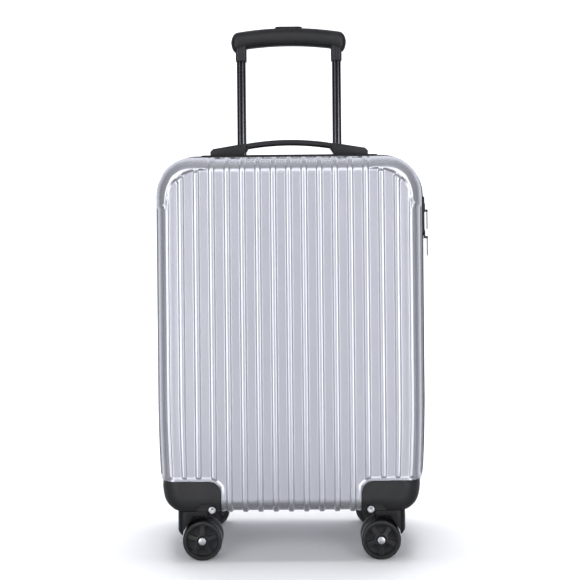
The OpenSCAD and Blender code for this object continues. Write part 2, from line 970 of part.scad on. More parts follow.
module axle(side) {
    reach = leg_t / 2 + wheel_gap + wheel_w + 0.4;
    color(steel) at_caster(side) translate([-trail, 0, wheel_r]) rotate([90, 0, 0]) {
        cylinder(r = axle_r, h = 2 * reach, center = true);
        for (s = [-1, 1])
            translate([0, 0, s * (reach + 0.5)]) cylinder(r = 4.9, h = 1, center = true);
    }
}

rim_r = 20.7;
hub_r = 6.9;
spoke_w = 5.6;
tyre_r = 22.8;

// One wheel of a pair: five spokes, an outer rim and the tyre moulded on it
module wheel(side, end, turn) {
    near = leg_t / 2 + wheel_gap;
    color(black) at_caster(side)
        translate([-trail, end < 0 ? -near : near + wheel_w, wheel_r]) rotate([90, 0, 0])
            difference() {
                union() {
                    difference() {
                        cylinder(r = wheel_r, h = wheel_w);
                        translate([0, 0, -1]) cylinder(r = rim_r, h = wheel_w + 2);
                        for (z = [-0.5, wheel_w - 1])
                            translate([0, 0, z]) difference() {
                                cylinder(r = tyre_r + 0.5, h = 1.5);
                                translate([0, 0, -1]) cylinder(r = tyre_r - 0.3, h = 4);
                            }
                    }
                    cylinder(r = hub_r, h = wheel_w);
                    for (k = [0:4])
                        rotate(turn + 72 * k) translate([0, -spoke_w / 2, 2])
                            cube([rim_r + 0.5, spoke_w, wheel_w - 4]);
                }
                translate([0, 0, -1]) cylinder(r = axle_r + run, h = wheel_w + 2);
            }
}

// Every corner has the same set of pieces
turn_L = 90;
turn_R = 126;

module guard_FL() { guard(FL); }
module guard_FR() { guard(FR); }
module guard_RL() { guard(RL); }
module guard_RR() { guard(RR); }
module fork_FL() { fork(FL); }
module fork_FR() { fork(FR); }
module fork_RL() { fork(RL); }
module fork_RR() { fork(RR); }
module swivel_pin_FL() { swivel_pin(FL); }
module swivel_pin_FR() { swivel_pin(FR); }
module swivel_pin_RL() { swivel_pin(RL); }
module swivel_pin_RR() { swivel_pin(RR); }
module axle_FL() { axle(FL); }
module axle_FR() { axle(FR); }
module axle_RL() { axle(RL); }
module axle_RR() { axle(RR); }
module wheel_FL_front() { wheel(FL, -1, turn_L); }
module wheel_FL_rear() { wheel(FL, 1, turn_L + 20); }
module wheel_FR_front() { wheel(FR, -1, turn_R); }
module wheel_FR_rear() { wheel(FR, 1, turn_R + 20); }
module wheel_RL_front() { wheel(RL, -1, turn_L); }
module wheel_RL_rear() { wheel(RL, 1, turn_L + 20); }
module wheel_RR_front() { wheel(RR, -1, turn_R); }
module wheel_RR_rear() { wheel(RR, 1, turn_R + 20); }

back_shell();
back_lining();
back_zip_tape();
trolley_outer_tubes();
trolley_base();
trolley_bezel();
packing_straps();
strap_buckle();
handle_plate();
handle_ends();
handle_pins();
back_screws();
front_shell();
front_lining();
front_zip_tape();
front_screws();
lock_body();
lock_dial_low();
lock_dial_mid();
lock_dial_high();
lock_button();
zip_slider_low();
zip_slider_high();
zip_pull_low();
zip_pull_high();
carry_handle();
trolley_middle_tubes();
trolley_inner_tubes();
lock_plugs();
grip_body();
grip_cover();
release_button();
push_rods();
button_springs();
lock_pin_left();
lock_pin_right();
guard_FL();
fork_FL();
swivel_pin_FL();
axle_FL();
wheel_FL_front();
wheel_FL_rear();
guard_FR();
fork_FR();
swivel_pin_FR();
axle_FR();
wheel_FR_front();
wheel_FR_rear();
guard_RL();
fork_RL();
swivel_pin_RL();
axle_RL();
wheel_RL_front();
wheel_RL_rear();
guard_RR();
fork_RR();
swivel_pin_RR();
axle_RR();
wheel_RR_front();
wheel_RR_rear();
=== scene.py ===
"""Looks of a hard shell cabin suitcase on four twin-wheel casters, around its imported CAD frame."""
import json
import math

import bmesh
import bpy
from mathutils import Matrix, Vector


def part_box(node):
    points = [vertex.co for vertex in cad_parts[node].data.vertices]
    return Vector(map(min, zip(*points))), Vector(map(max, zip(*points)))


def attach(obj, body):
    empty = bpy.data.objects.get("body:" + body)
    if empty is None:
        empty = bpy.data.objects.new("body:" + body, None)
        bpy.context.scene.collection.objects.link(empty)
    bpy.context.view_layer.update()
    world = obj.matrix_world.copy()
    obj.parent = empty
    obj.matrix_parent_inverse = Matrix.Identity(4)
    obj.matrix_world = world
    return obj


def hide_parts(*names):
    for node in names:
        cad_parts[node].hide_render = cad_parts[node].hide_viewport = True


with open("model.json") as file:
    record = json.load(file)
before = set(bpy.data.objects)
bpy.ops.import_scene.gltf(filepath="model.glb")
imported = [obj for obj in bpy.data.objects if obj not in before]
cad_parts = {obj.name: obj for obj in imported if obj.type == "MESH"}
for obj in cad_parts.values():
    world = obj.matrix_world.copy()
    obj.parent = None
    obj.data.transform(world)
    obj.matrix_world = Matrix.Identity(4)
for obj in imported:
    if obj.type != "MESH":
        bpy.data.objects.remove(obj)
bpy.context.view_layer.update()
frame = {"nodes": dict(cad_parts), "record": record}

MM = 0.001

# ---- sizes, from the frame

case_low, case_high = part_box("front_shell")
tape_low, tape_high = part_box("back_zip_tape")
TEETH_PROUD = 2 * MM
HALF_W = tape_high[0] - TEETH_PROUD
HALF_D = -case_low[1]
BOTTOM = tape_low[2] + TEETH_PROUD
TOP = tape_high[2] - TEETH_PROUD
RIM_Y = -case_high[1]

TOP_CORNER_R = 56 * MM
LOW_CORNER_R = 46 * MM
WAIST_Z = 220 * MM
WAIST_R = 2000 * MM
EDGE_R = 26 * MM
SIDE_LEAN = math.radians(6.3)
TOP_LEAN = math.radians(3.2)
RIB_H = 2.3 * MM
RIB_PITCH = 20.1 * MM
RIB_CREST = 2.0 * MM
RIB_FOOT = 4.8 * MM
WALL_DEEP = 4.6 * MM
CROWN = 1.6 * MM
CROWN_HALF_X = 150 * MM
CROWN_HALF_Z = 215 * MM
FACE_RIBS = 7
TOP_RIBS = 5
BOTTOM_RIBS = 4
SIDE_RIBS = 4

guard_low, guard_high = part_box("guard_FR")
GUARD_X = guard_low[0]
GUARD_TOP = guard_high[2]
GUARD_BOTTOM = 66.6 * MM
GUARD_R = 16 * MM
GUARD_Y = 42 * MM
GUARD_SINK = 3.9 * MM
GUARD_WALL = 2.4 * MM

ARCH_X = 109 * MM
ARCH_Z = 64 * MM
ARCH_R = 15.5 * MM
ARCH_WALL = 1.8 * MM
ARCH_FLOOR = 103 * MM

pin_low, pin_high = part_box("swivel_pin_FR")
CASTER_X = (pin_low[0] + pin_high[0]) / 2
CASTER_Y = -(pin_low[1] + pin_high[1]) / 2
POCKET_R = 34 * MM
POCKET_TOP = 70 * MM
PIN_HOLE_R = 5.1 * MM
BEZEL_SEAT = 26 * MM
LEFT_RIGHT = (-1, 1)
CORNERS = ("FL", "FR", "RL", "RR")

# Ends of cutting shapes, well outside what they cut.
CLEAR = 0.2
FAR = 0.3


def put(name, data):
    """A new object in the scene."""
    made = bpy.data.objects.new(name, data)
    bpy.context.scene.collection.objects.link(made)
    return made


# ---- camera

CAMERA_AT = Vector((0.016, -1.554, 0.450))
CAMERA_TURN = math.radians(0.57)
CAMERA_ROLL = math.radians(-0.53)
LENS_MM = 68.9
SENSOR_MM = 36.0
HORIZON_SHIFT = -0.125


def add_camera():
    data = bpy.data.cameras.new("camera")
    data.sensor_width = SENSOR_MM
    data.lens = LENS_MM
    data.shift_y = HORIZON_SHIFT
    camera = put("camera", data)
    aim = Matrix.Rotation(CAMERA_TURN, 4, "Z") @ Matrix.Rotation(math.radians(90), 4, "X")
    camera.matrix_world = Matrix.Translation(CAMERA_AT) @ aim @ Matrix.Rotation(CAMERA_ROLL, 4, "Z")
    bpy.context.scene.camera = camera


add_camera()

# ---- materials


class Nodes:
    """A node tree under construction."""

    def __init__(self, owner):
        owner.use_nodes = True
        self.tree = owner.node_tree

    def node(self, kind, inputs=(), **settings):
        """A new node. Each of its inputs gets a value, or a link from another node's output."""
        made = self.tree.nodes.new(kind)
        for key, value in settings.items():
            setattr(made, key, value)
        for socket, value in dict(inputs).items():
            if isinstance(value, bpy.types.NodeSocket):
                self.link(value, made.inputs[socket])
            else:
                made.inputs[socket].default_value = value
        return made

    def link(self, out, into):
        self.tree.links.new(out, into)

    def ramp(self, value, low, high, span=(0.3, 0.7)):
        names = ("Value", "From Min", "From Max", "To Min", "To Max")
        inputs = dict(zip(names, (value, *span, low, high)))
        return self.node("ShaderNodeMapRange", inputs).outputs["Result"]


class Shader(Nodes):
    """A material under construction: a principled shader and the nodes that feed it."""

    def __init__(self, name, colour, roughness, metallic=0.0, **constants):
        self.material = bpy.data.materials.new(name)
        super().__init__(self.material)
        self.shader = self.tree.nodes["Principled BSDF"]
        self.colour = colour
        constants.update(Base_Color=(*colour, 1.0), Roughness=roughness, Metallic=metallic)
        for socket, value in constants.items():
            self.shader.inputs[socket.replace("_", " ")].default_value = value
        self.height = None
        self.space = self.node("ShaderNodeTexCoord").outputs["Object"]

    def math(self, operation, a, b):
        return self.node("ShaderNodeMath", {0: a, 1: b}, operation=operation).outputs[0]

    def noise(self, scale, detail=2.0, stretch=(1, 1, 1)):
        place = self.node("ShaderNodeMapping", {"Scale": stretch, "Vector": self.space})
        inputs = {"Scale": scale, "Detail": detail, "Vector": place.outputs["Vector"]}
        return self.node("ShaderNodeTexNoise", inputs).outputs["Fac"]

    def wave(self, scale, direction):
        inputs = {"Scale": scale, "Vector": self.space}
        return self.node("ShaderNodeTexWave", inputs, bands_direction=direction).outputs["Fac"]

    def tint(self, value, low, high, span=(0.3, 0.7)):
        """Varies the colour between low and high times itself."""
        dark, pale = ((*(min(1.0, c * k) for c in self.colour), 1.0) for k in (low, high))
        inputs = {"Factor": self.ramp(value, 0.0, 1.0, span), "A": dark, "B": pale}
        mix = self.node("ShaderNodeMix", inputs, data_type="RGBA")
        self.link(mix.outputs["Result"], self.shader.inputs["Base Color"])

    def rough(self, value, low, high, span=(0.3, 0.7)):
        self.link(self.ramp(value, low, high, span), self.shader.inputs["Roughness"])

    def bump(self, value, distance, strength=1.0):
        inputs = {"Distance": distance, "Strength": strength, "Height": value}
        if self.height is not None:
            inputs["Normal"] = self.height
        self.height = self.node("ShaderNodeBump", inputs).outputs["Normal"]
        self.link(self.height, self.shader.inputs["Normal"])


EVEN = (0.0, 1.0)


def finish(name, colour, roughness, metallic, tint, rough, bump, **constants):
    """A surface that varies in colour, roughness and height.

    tint and rough are (noise, low, high) with an optional span; bump is (noise, height, strength).
    A noise is (scale, detail) with an optional stretch."""
    s = Shader(name, colour, roughness, metallic, **constants)
    s.tint(s.noise(*tint[0]), *tint[1:])
    s.rough(s.noise(*rough[0]), *rough[1:])
    s.bump(s.noise(*bump[0]), *bump[1:])
    return s.material


def moulded(name, colour, roughness, grain=0.05 * MM, scale=1500.0):
    """Moulded plastic with a fine spark-eroded grain and slightly polished high spots."""
    return finish(name, colour, roughness, 0.0, ((40.0, 3.0), 0.85, 1.2),
                  ((220.0, 3.0), roughness - 0.07, roughness + 0.07),
                  ((scale, 3.0), grain, 0.6), Specular_IOR_Level=0.32)


def plated_steel(name, colour):
    return finish(name, colour, 0.28, 1.0, ((300.0, 2.0), 0.88, 1.08),
                  ((700.0, 4.0), 0.2, 0.36), ((1800.0, 2.0), 0.01 * MM, 0.5))


# The wave texture's scale that gives one wave per metre.
WAVES_PER_METRE = 0.31


def woven(name, colour, pitch, sheen=0.3):
    """Cloth with a plain weave: threads along two axes, and darker gaps between them."""
    s = Shader(name, colour, 0.85, 0.0, Sheen_Weight=sheen)
    scale = WAVES_PER_METRE / pitch
    threads = s.math("ADD", s.wave(scale, "X"), s.wave(scale, "Z"))
    threads = s.math("ADD", threads, s.wave(scale, "Y"))
    s.tint(s.math("MULTIPLY", threads, 0.33), 0.6, 1.25, (0.2, 0.8))
    s.bump(threads, 0.12 * MM, 0.7)
    s.bump(s.noise(25.0, 2.0), 0.8 * MM, 0.3)
    return s.material


def webbing():
    s = Shader("webbing", (0.03, 0.03, 0.033), 0.7, 0.0, Sheen_Weight=0.3)
    ribs = s.math("ADD", s.wave(260.0, "X"), s.wave(260.0, "Z"))
    s.tint(s.math("MULTIPLY", ribs, 0.5), 0.6, 1.5, (0.2, 0.8))
    s.bump(ribs, 0.15 * MM, 0.8)
    return s.material


SHELL = finish("coated_shell", (0.60, 0.612, 0.65), 0.24, 0.72, ((5.0, 3.0), 0.96, 1.04, EVEN),
               ((12.0, 2.0), 0.2, 0.28, EVEN), ((1400.0, 1.0), 0.004 * MM, 0.5),
               Coat_Weight=0.25, Coat_Roughness=0.12)
GUARD = moulded("guard_plastic", (0.019, 0.019, 0.020), 0.46, 0.09 * MM, 1100.0)
GRIP = moulded("grip_plastic", (0.015, 0.015, 0.016), 0.38, 0.03 * MM)
DARK = moulded("dark_plastic", (0.006, 0.006, 0.0065), 0.42)
COLLAR = moulded("collar_plastic", (0.019, 0.019, 0.020), 0.3, 0.02 * MM)
BLACK_TUBE = finish("gloss_black", (0.006, 0.006, 0.007), 0.14, 0.0, ((30.0, 2.0), 0.8, 1.3),
                    ((90.0, 4.0, (1, 1, 0.1)), 0.12, 0.22),
                    ((500.0, 2.0, (1, 1, 0.05)), 0.01 * MM, 0.4),
                    Coat_Weight=0.2, Coat_Roughness=0.06, Specular_IOR_Level=0.4)
STEEL = plated_steel("plated_steel", (0.7, 0.7, 0.71))
DARK_METAL = plated_steel("dark_metal", (0.07, 0.07, 0.075))
# A paler metal for the tubes' groove floors, as painted highlight lines.
GROOVE_HIGHLIGHT_METAL = plated_steel("groove_highlight_metal", (0.36, 0.36, 0.385))
ALUMINIUM = finish("drawn_aluminium", (0.62, 0.63, 0.65), 0.34, 1.0,
                   ((60.0, 3.0, (1, 1, 0.05)), 0.9, 1.06),
                   ((900.0, 3.0, (1, 1, 0.02)), 0.26, 0.42),
                   ((1600.0, 2.0, (1, 1, 0.02)), 0.015 * MM, 0.5))
LINING = woven("lining_cloth", (0.13, 0.135, 0.15), 1.1 * MM)
TAPE = woven("zip_cloth", (0.02, 0.02, 0.022), 0.7 * MM, 0.15)
WEBBING = webbing()
TYRE = finish("tyre_rubber", (0.017, 0.017, 0.018), 0.5, 0.0, ((120.0, 4.0), 0.7, 1.5),
              ((160.0, 4.0), 0.4, 0.62), ((1300.0, 3.0), 0.04 * MM, 0.6))
SPOKE = moulded("wheel_plastic", (0.017, 0.017, 0.018), 0.33, 0.02 * MM)

# ---- mesh helpers


def mesh_of(name, points, faces):
    mesh = bpy.data.meshes.new(name)
    mesh.from_pydata(points, [], faces)
    work = bmesh.new()
    work.from_mesh(mesh)
    bmesh.ops.remove_doubles(work, verts=work.verts, dist=0.002 * MM)
    bmesh.ops.recalc_face_normals(work, faces=work.faces)
    work.to_mesh(mesh)
    work.free()
    return mesh


def settle(thing):
    """The object's mesh with its modifiers applied. The object itself is removed."""
    evaluated = thing.evaluated_get(bpy.context.evaluated_depsgraph_get())
    mesh = bpy.data.meshes.new_from_object(evaluated)
    bpy.data.objects.remove(thing)
    return mesh


def boolean(mesh, operation, *tools):
    for tool in tools:
        target, cutter = put("worked_on", mesh), put("cutter", tool)
        step = target.modifiers.new("cut", "BOOLEAN")
        step.operation = operation
        step.solver = "EXACT"
        step.object = cutter
        mesh = settle(target)
        bpy.data.objects.remove(cutter)
    return mesh


def carved(mesh, *tools):
    return boolean(mesh, "DIFFERENCE", *tools)


def bevelled(mesh, width, segments=2, angle=30.0):
    target = put("worked_on", mesh)
    step = target.modifiers.new("bevel", "BEVEL")
    step.width = width
    step.segments = segments
    step.limit_method = "ANGLE"
    step.angle_limit = math.radians(angle)
    return settle(target)


def smooth(mesh, angle=35.0):
    mesh.polygons.foreach_set("use_smooth", [True] * len(mesh.polygons))
    mesh.set_sharp_from_angle(angle=math.radians(angle))
    return mesh


def piece(name, mesh, material, body, replaces=(), angle=35.0):
    """A finished piece of the visual model, riding on a CAD body."""
    made = put(name, smooth(mesh, angle))
    mesh.materials.clear()
    mesh.materials.append(material)
    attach(made, body)
    if replaces:
        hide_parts(*replaces)
    return made


def body_with(node):
    return next(b for b, nodes in BODIES.items() if node in nodes)


BODIES = frame["record"]["behaviour"]["bodies"]


def node_mesh(node):
    """A copy of a CAD node's mesh, with its flat triangles joined back into faces."""
    mesh = frame["nodes"][node].data.copy()
    work = bmesh.new()
    work.from_mesh(mesh)
    bmesh.ops.remove_doubles(work, verts=work.verts, dist=0.004 * MM)
    bmesh.ops.dissolve_limit(
        work, angle_limit=math.radians(1.0), verts=work.verts, edges=work.edges)
    work.to_mesh(mesh)
    work.free()
    return mesh


def refine(node, material, width, segments=2, angle=35.0):
    """Stands for a CAD node in the same shape, with edges rounded over a width in millimetres."""
    mesh = bevelled(node_mesh(node), width * MM, segments, angle)
    return piece(node + "_part", mesh, material, body_with(node), (node,))


def rounded_rect(half_x, half_y, r, cx=0.0, cy=0.0):
    """Points round a rectangle with rounded corners, anticlockwise."""
    points = []
    for k, (sx, sy) in enumerate(((1, 1), (-1, 1), (-1, -1), (1, -1))):
        for i in range(7):
            a = math.radians(90 * k + 15 * i)
            points.append((cx + sx * (half_x - r) + r * math.cos(a),
                           cy + sy * (half_y - r) + r * math.sin(a)))
    return points


def loft(loops, capped=True):
    """A closed mesh through loops of equally many points, capped, or else joined end to end."""
    n = len(loops[0])
    points = [p for loop in loops for p in loop]
    faces = []
    count = len(loops) - 1 if capped else len(loops)
    for k in range(count):
        a, b = k * n, ((k + 1) % len(loops)) * n
        faces += [(a + i, a + (i + 1) % n, b + (i + 1) % n, b + i) for i in range(n)]
    if capped:
        faces.append(tuple(reversed(range(n))))
        faces.append(tuple((len(loops) - 1) * n + i for i in range(n)))
    return mesh_of("loft", points, faces)


def prism_y(outline, y0, y1):
    """A shape drawn in X and Z, extruded from y0 to y1."""
    return loft([[(x, y, z) for x, z in outline] for y in (y0, y1)])


def prism_z(outline, z0, z1):
    return loft([[(x, y, z) for x, y in outline] for z in (z0, z1)])


def circle(cx, cy, r, steps=48):
    turn = 2 * math.pi / steps
    return [(cx + r * math.cos(i * turn), cy + r * math.sin(i * turn)) for i in range(steps)]


def block(low, high):
    corners = [(low[0], low[1]), (high[0], low[1]), (high[0], high[1]), (low[0], high[1])]
    return prism_z(corners, low[2], high[2])


def around(node, x, y, z):
    """A block that is larger than a CAD node by these margins on each side, in millimetres."""
    low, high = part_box(node)
    margin = Vector((x, y, z)) * MM
    return block(low - margin, high + margin)


def mirrored(mesh, side_x, side_y):
    """A copy of a mesh made for the front right, moved to another corner: sides are 1 or -1."""
    made = mesh.copy()
    made.transform(Matrix.Diagonal((side_x, -side_y, 1, 1)))
    if side_x * side_y > 0:
        made.flip_normals()
    return made


# ---- the case's surface

# The case's skin is one surface over two parameters: round the outline (top middle, down the side,
# bottom middle), and from the seam's rim over the rounded edge to the large face.

CORNER_X = HALF_W - TOP_CORNER_R
CORNER_Z = TOP - TOP_CORNER_R
LOW_Z = BOTTOM + LOW_CORNER_R
WAIST_X = HALF_W - WAIST_R
LOW_X = WAIST_X + math.sqrt((WAIST_R - LOW_CORNER_R) ** 2 - (LOW_Z - WAIST_Z) ** 2)
LOW_TURN = math.asin((LOW_Z - WAIST_Z) / (WAIST_R - LOW_CORNER_R))
WAIST_END = WAIST_Z + WAIST_R * math.sin(LOW_TURN)
STRAIGHT_D = HALF_D - EDGE_R


def lean_at(nz):
    return SIDE_LEAN + (TOP_LEAN - SIDE_LEAN) * nz * nz


def edge_centre(lean):
    """How far inside the rim the rounded edge's centre lies."""
    return (EDGE_R + math.sin(lean) * STRAIGHT_D) / math.cos(lean)


def face_corner_r(turn):
    """How far the large face reaches from the top corner's centre, at a turn round the corner."""
    return TOP_CORNER_R - edge_centre(lean_at(math.cos(turn)))


def smoothstep(low, high, x):
    t = min(1.0, max(0.0, (x - low) / (high - low)))
    return t * t * (3 - 2 * t)


def rib(offset):
    """1 on a rib's crest, 0 between ribs."""
    return 1.0 - smoothstep(RIB_CREST, RIB_FOOT, abs(offset))


def rib_lines(count, offsets, last_mid=True):
    """Places of the mesh lines across a run of ribs, starting on the first rib's crest."""
    lines = []
    for k in range(count + 1):
        for offset in offsets:
            if k or offset >= 0:
                lines.append(k * RIB_PITCH + offset)
        if k < count or last_mid:
            lines.append((k + 0.5) * RIB_PITCH)
    return lines


def both_ways(*offsets):
    """The offsets in millimetres, on both sides of 0 and with 0 itself, in metres."""
    return [s * MM for s in (*(-o for o in reversed(offsets)), 0, *offsets)]


# Mesh lines beside a rib's crest, across the large face and across the sides.
FINE = both_ways(2.1, 2.6, 3.1, 3.7, 4.2, 4.7, 5.3)
COARSE = both_ways(1.9, 2.5, 3.1, 3.7, 4.3, 5.0)
GUARD_EDGE_LINES = [89 * MM, 91.2 * MM, 92 * MM, 92.9 * MM]
PAD_EDGE_LINES = [z * MM for z in (474, 470, 468, 466, 464, 462, 460, 456, 450)]
GUARD_LINES_Z = 118 * MM


class Surface:
    """Mesh lines for the right half of one case half, and where each crossing of them lies."""

    def __init__(self, fine=False):
        self.rows = self.section_rows(fine)
        self.face_x = edge_x = HALF_W - edge_centre(SIDE_LEAN)
        if fine:
            ribs = rib_lines(FACE_RIBS, FINE, False)
            flat = [x for x in ribs if x < CORNER_X - 0.4 * MM]
            self.xs = sorted(flat + GUARD_EDGE_LINES) + [CORNER_X]
            bends = [x for x in ribs if CORNER_X + 3 * MM < x < edge_x - 1.5 * MM]
            bends = [CORNER_X + 0.8 * MM, CORNER_X + 2.2 * MM] + bends
        else:
            flat = (0, 20, 40, 60, 75, 85, 92, 100, 108, 116, 123)
            self.xs = [x * MM for x in flat] + [CORNER_X]
            bends = [CORNER_X + k * 2.5 * MM for k in range(1, 8)]
        bends += [edge_x - 0.8 * MM, edge_x - 0.2 * MM]
        self.straight = len(self.xs)
        self.corner = [0.0] + [self.corner_angle(x) for x in bends] + [math.pi / 2]
        self.xs += bends + [edge_x]
        self.side_z = self.side_lines(fine)
        self.low_turns = [LOW_TURN + (-math.pi / 2 - LOW_TURN) * k / 12 for k in range(1, 12)]
        self.ring = self.ring_samples()

    @staticmethod
    def section_rows(fine):
        """Each row is (distance from the seam, None) on the wall, or (None, turn) on the edge.

        (None, None) is the wall's end."""
        if fine:
            ribs = [y for y in rib_lines(SIDE_RIBS, COARSE) if 9 * MM < y < 86 * MM]
            walls = [RIM_Y, RIM_Y + 3 * MM] + ribs
            turns = [12, 18, 24, 30, 36, 42, 47] + [50 + 1.5 * k for k in range(27)]
        else:
            walls = [RIM_Y, 15 * MM, 30 * MM, 41 * MM, 55 * MM, 70 * MM, 80 * MM]
            turns = [12 + 6 * k for k in range(13)] + [87]
        edge = [(None, math.radians(t)) for t in turns + [90]]
        return [(y, None) for y in walls] + [(None, None)] + edge

    @staticmethod
    def corner_angle(x):
        """The angle round the top corner at which the edge of the face reaches x."""
        low, high = 0.0, math.pi / 2
        for _ in range(40):
            a = (low + high) / 2
            if CORNER_X + face_corner_r(a) * math.sin(a) < x:
                low = a
            else:
                high = a
        return (low + high) / 2

    @staticmethod
    def side_lines(fine):
        """Heights of the mesh lines down the side, from the top corner to the bottom one."""
        lines = list(PAD_EDGE_LINES) if fine else [440 * MM]
        runs = ((WAIST_Z, 18 if fine else 4), (GUARD_LINES_Z, 12), (WAIST_END, 24 if fine else 8))
        for low, steps in runs:
            high = lines[-1]
            lines += [high - (high - low) * k / steps for k in range(1, steps + 1)]
        return lines

    def ring_samples(self):
        """Points on the seam's outline, from top middle to bottom middle.

        Each is (kind, index, x, z, nx, nz)."""
        samples = [("top", i, self.xs[i], TOP, 0.0, 1.0) for i in range(self.straight)]
        for k, a in enumerate(self.corner[1:], 1):
            sx, cz = math.sin(a), math.cos(a)
            x, z = CORNER_X + TOP_CORNER_R * sx, CORNER_Z + TOP_CORNER_R * cz
            samples.append(("corner", k, x, z, sx, cz))
        for j, z in enumerate(self.side_z):
            turn = 0.0 if z >= WAIST_Z else math.asin((z - WAIST_Z) / WAIST_R)
            x = HALF_W if z >= WAIST_Z else WAIST_X + WAIST_R * math.cos(turn)
            samples.append(("side", j, x, z, math.cos(turn), math.sin(turn)))
        for k, a in enumerate(self.low_turns):
            nx, nz = math.cos(a), math.sin(a)
            samples.append(("low", k, LOW_X + LOW_CORNER_R * nx, LOW_Z + LOW_CORNER_R * nz, nx, nz))
        for i in range(len(self.xs) - 1, -1, -1):
            samples.append(("bottom", i, self.bottom_x(i), BOTTOM, 0.0, -1.0))
        return samples

    def bottom_x(self, i):
        x = self.xs[i]
        if x <= CORNER_X:
            return x
        return CORNER_X + (LOW_X - CORNER_X) * (x - CORNER_X) / (self.face_x - CORNER_X)

    @staticmethod
    def place(sample, row):
        """Where a ring sample meets a section row, and the outward direction there."""
        x, z, nx, nz = sample[2:]
        y, turn = row
        lean = lean_at(nz)
        centre = edge_centre(lean)
        if y is not None:
            inside, phi = y * math.tan(lean), lean
        else:
            phi = lean if turn is None else turn
            inside, y = centre - EDGE_R * math.cos(phi), STRAIGHT_D + EDGE_R * math.sin(phi)
        point = Vector((x - nx * inside, -y, z - nz * inside))
        out = Vector((nx * math.cos(phi), -math.sin(phi), nz * math.cos(phi)))
        return point, out, phi

    def mesh(self, height, deep=None):
        """A closed mesh of both sides of a case half.

        height says how far each point stands out from the rib crests. With deep, the mesh is a
        shell whose inner face lies that far inside; without it, it is closed flat at the seam."""
        points, faces = [], []
        n = len(self.ring)
        self.add_rows(points, faces, self.rows, height)
        self.fill_face(points, faces, n * (len(self.rows) - 1), height)
        if deep is None:
            faces.append(tuple(range(n)))
            return self.both_sides(points, faces)
        start = len(points)
        inner = [self.rows[0], (60 * MM, None), (None, None)]
        inner += [(None, math.radians(t)) for t in (25, 45, 65, 90)]
        self.add_rows(points, faces, inner, lambda *_: -deep)
        faces += [(k, start + k, start + k + 1, k + 1) for k in range(n - 1)]
        end = start + n * (len(inner) - 1)
        faces.append(tuple(range(end, end + n)))
        return self.both_sides(points, faces)

    def add_rows(self, points, faces, rows, height):
        """Points at the height given on each crossing of rows and ring, with faces between."""
        n = len(self.ring)
        for k, row in enumerate(rows):
            start = len(points)
            for sample in self.ring:
                point, out, phi = self.place(sample, row)
                points.append(point + out * height(self, sample, row, point, phi))
            if k:
                faces += [(i - n, i - n + 1, i + 1, i) for i in range(start, start + n - 1)]

    def fill_face(self, points, faces, edge, height):
        """The large face: a grid inside the last section row, with the corner's arc cut off."""
        arc = len(self.corner) - 1
        lines = arc + 1 + len(self.side_z)
        index = {}
        for j in range(lines + 1):
            reach = self.straight - 1 + min(j, arc)
            for i in range(reach + 1):
                index[i, j] = self.face_point(points, edge, height, i, j, arc, lines)
        for j in range(lines):
            reach = self.straight - 1 + min(j, arc)
            for i in range(reach):
                faces.append((index[i, j], index[i + 1, j], index[i + 1, j + 1], index[i, j + 1]))
            if j < arc:
                faces.append((index[reach, j], index[reach + 1, j + 1], index[reach, j + 1]))
        low = self.straight + arc + len(self.side_z)
        fan = index[len(self.xs) - 1, lines]
        ends = range(low - 1, low + len(self.low_turns) - 1)
        faces += [(edge + k, edge + k + 1, fan) for k in ends]

    def face_point(self, points, edge, height, i, j, arc, lines):
        """Index of the point where line i across the face meets line j down it, from the top."""
        side_start = self.straight + arc
        if j == 0:
            return edge + i
        if j == lines:
            return edge + len(self.ring) - 1 - i
        if i == self.straight - 1 + min(j, arc):
            return edge + (i if j <= arc else side_start + j - arc - 1)
        x = self.xs[i]
        if j <= arc:
            turn = self.corner[j]
            z = CORNER_Z + face_corner_r(turn) * math.cos(turn)
        else:
            sample = self.ring[side_start + j - arc - 1]
            z = sample[3]
            if x > CORNER_X:
                end = self.place(sample, self.rows[-1])[0]
                across = (x - CORNER_X) / (self.face_x - CORNER_X)
                x = CORNER_X + (end[0] - CORNER_X) * across
                z += (end[2] - z) * across
        point = Vector((x, -HALF_D, z))
        sample = ("face", i, x, z, 0.0, 0.0)
        out = height(self, sample, self.rows[-1], point, math.pi / 2)
        points.append(point - Vector((0, out, 0)))
        return len(points) - 1

    @staticmethod
    def both_sides(points, faces):
        n = len(points)
        flipped = [(-p[0], p[1], p[2]) for p in points]
        back = [tuple(n + k for k in reversed(face)) for face in faces]
        return mesh_of("case", [tuple(p) for p in points] + flipped, faces + back)


def zone_gap(x, z):
    """Signed distance to the guard's outline seen from the front, negative inside it."""
    dx = GUARD_X + GUARD_R - x
    dz = z - (GUARD_TOP - GUARD_R)
    if dx > 0 and dz > 0:
        return math.hypot(dx, dz) - GUARD_R
    return max(GUARD_X - x, z - GUARD_TOP)


# The plain pads on the top corners end at this arc, and at a line across the top and the side.
CREASE_X = 115 * MM
CREASE_Z = 466 * MM
CREASE_R = 48 * MM
CREASE_HALF = 1.0 * MM
CREASE_GROOVE = 2.4 * MM
PAD_START_X = (106 * MM, 111 * MM)
PAD_START_Z = (462 * MM, 466 * MM)

# The shell's lip over the guard, as distances outside the guard's outline.
LIP = (6.5 * MM, 4.0 * MM)
LIP_DROP = 1.1 * MM
LIP_EDGE = (0.9 * MM, -0.6 * MM)


def crown(x, z):
    """The large face bulges slightly, and is flat again at its edges."""
    u = min(1.0, abs(x) / CROWN_HALF_X)
    v = min(1.0, abs(z - (TOP + BOTTOM) / 2) / CROWN_HALF_Z)
    return CROWN * ((1 - u * u) * (1 - v ** 4) - 1.0)


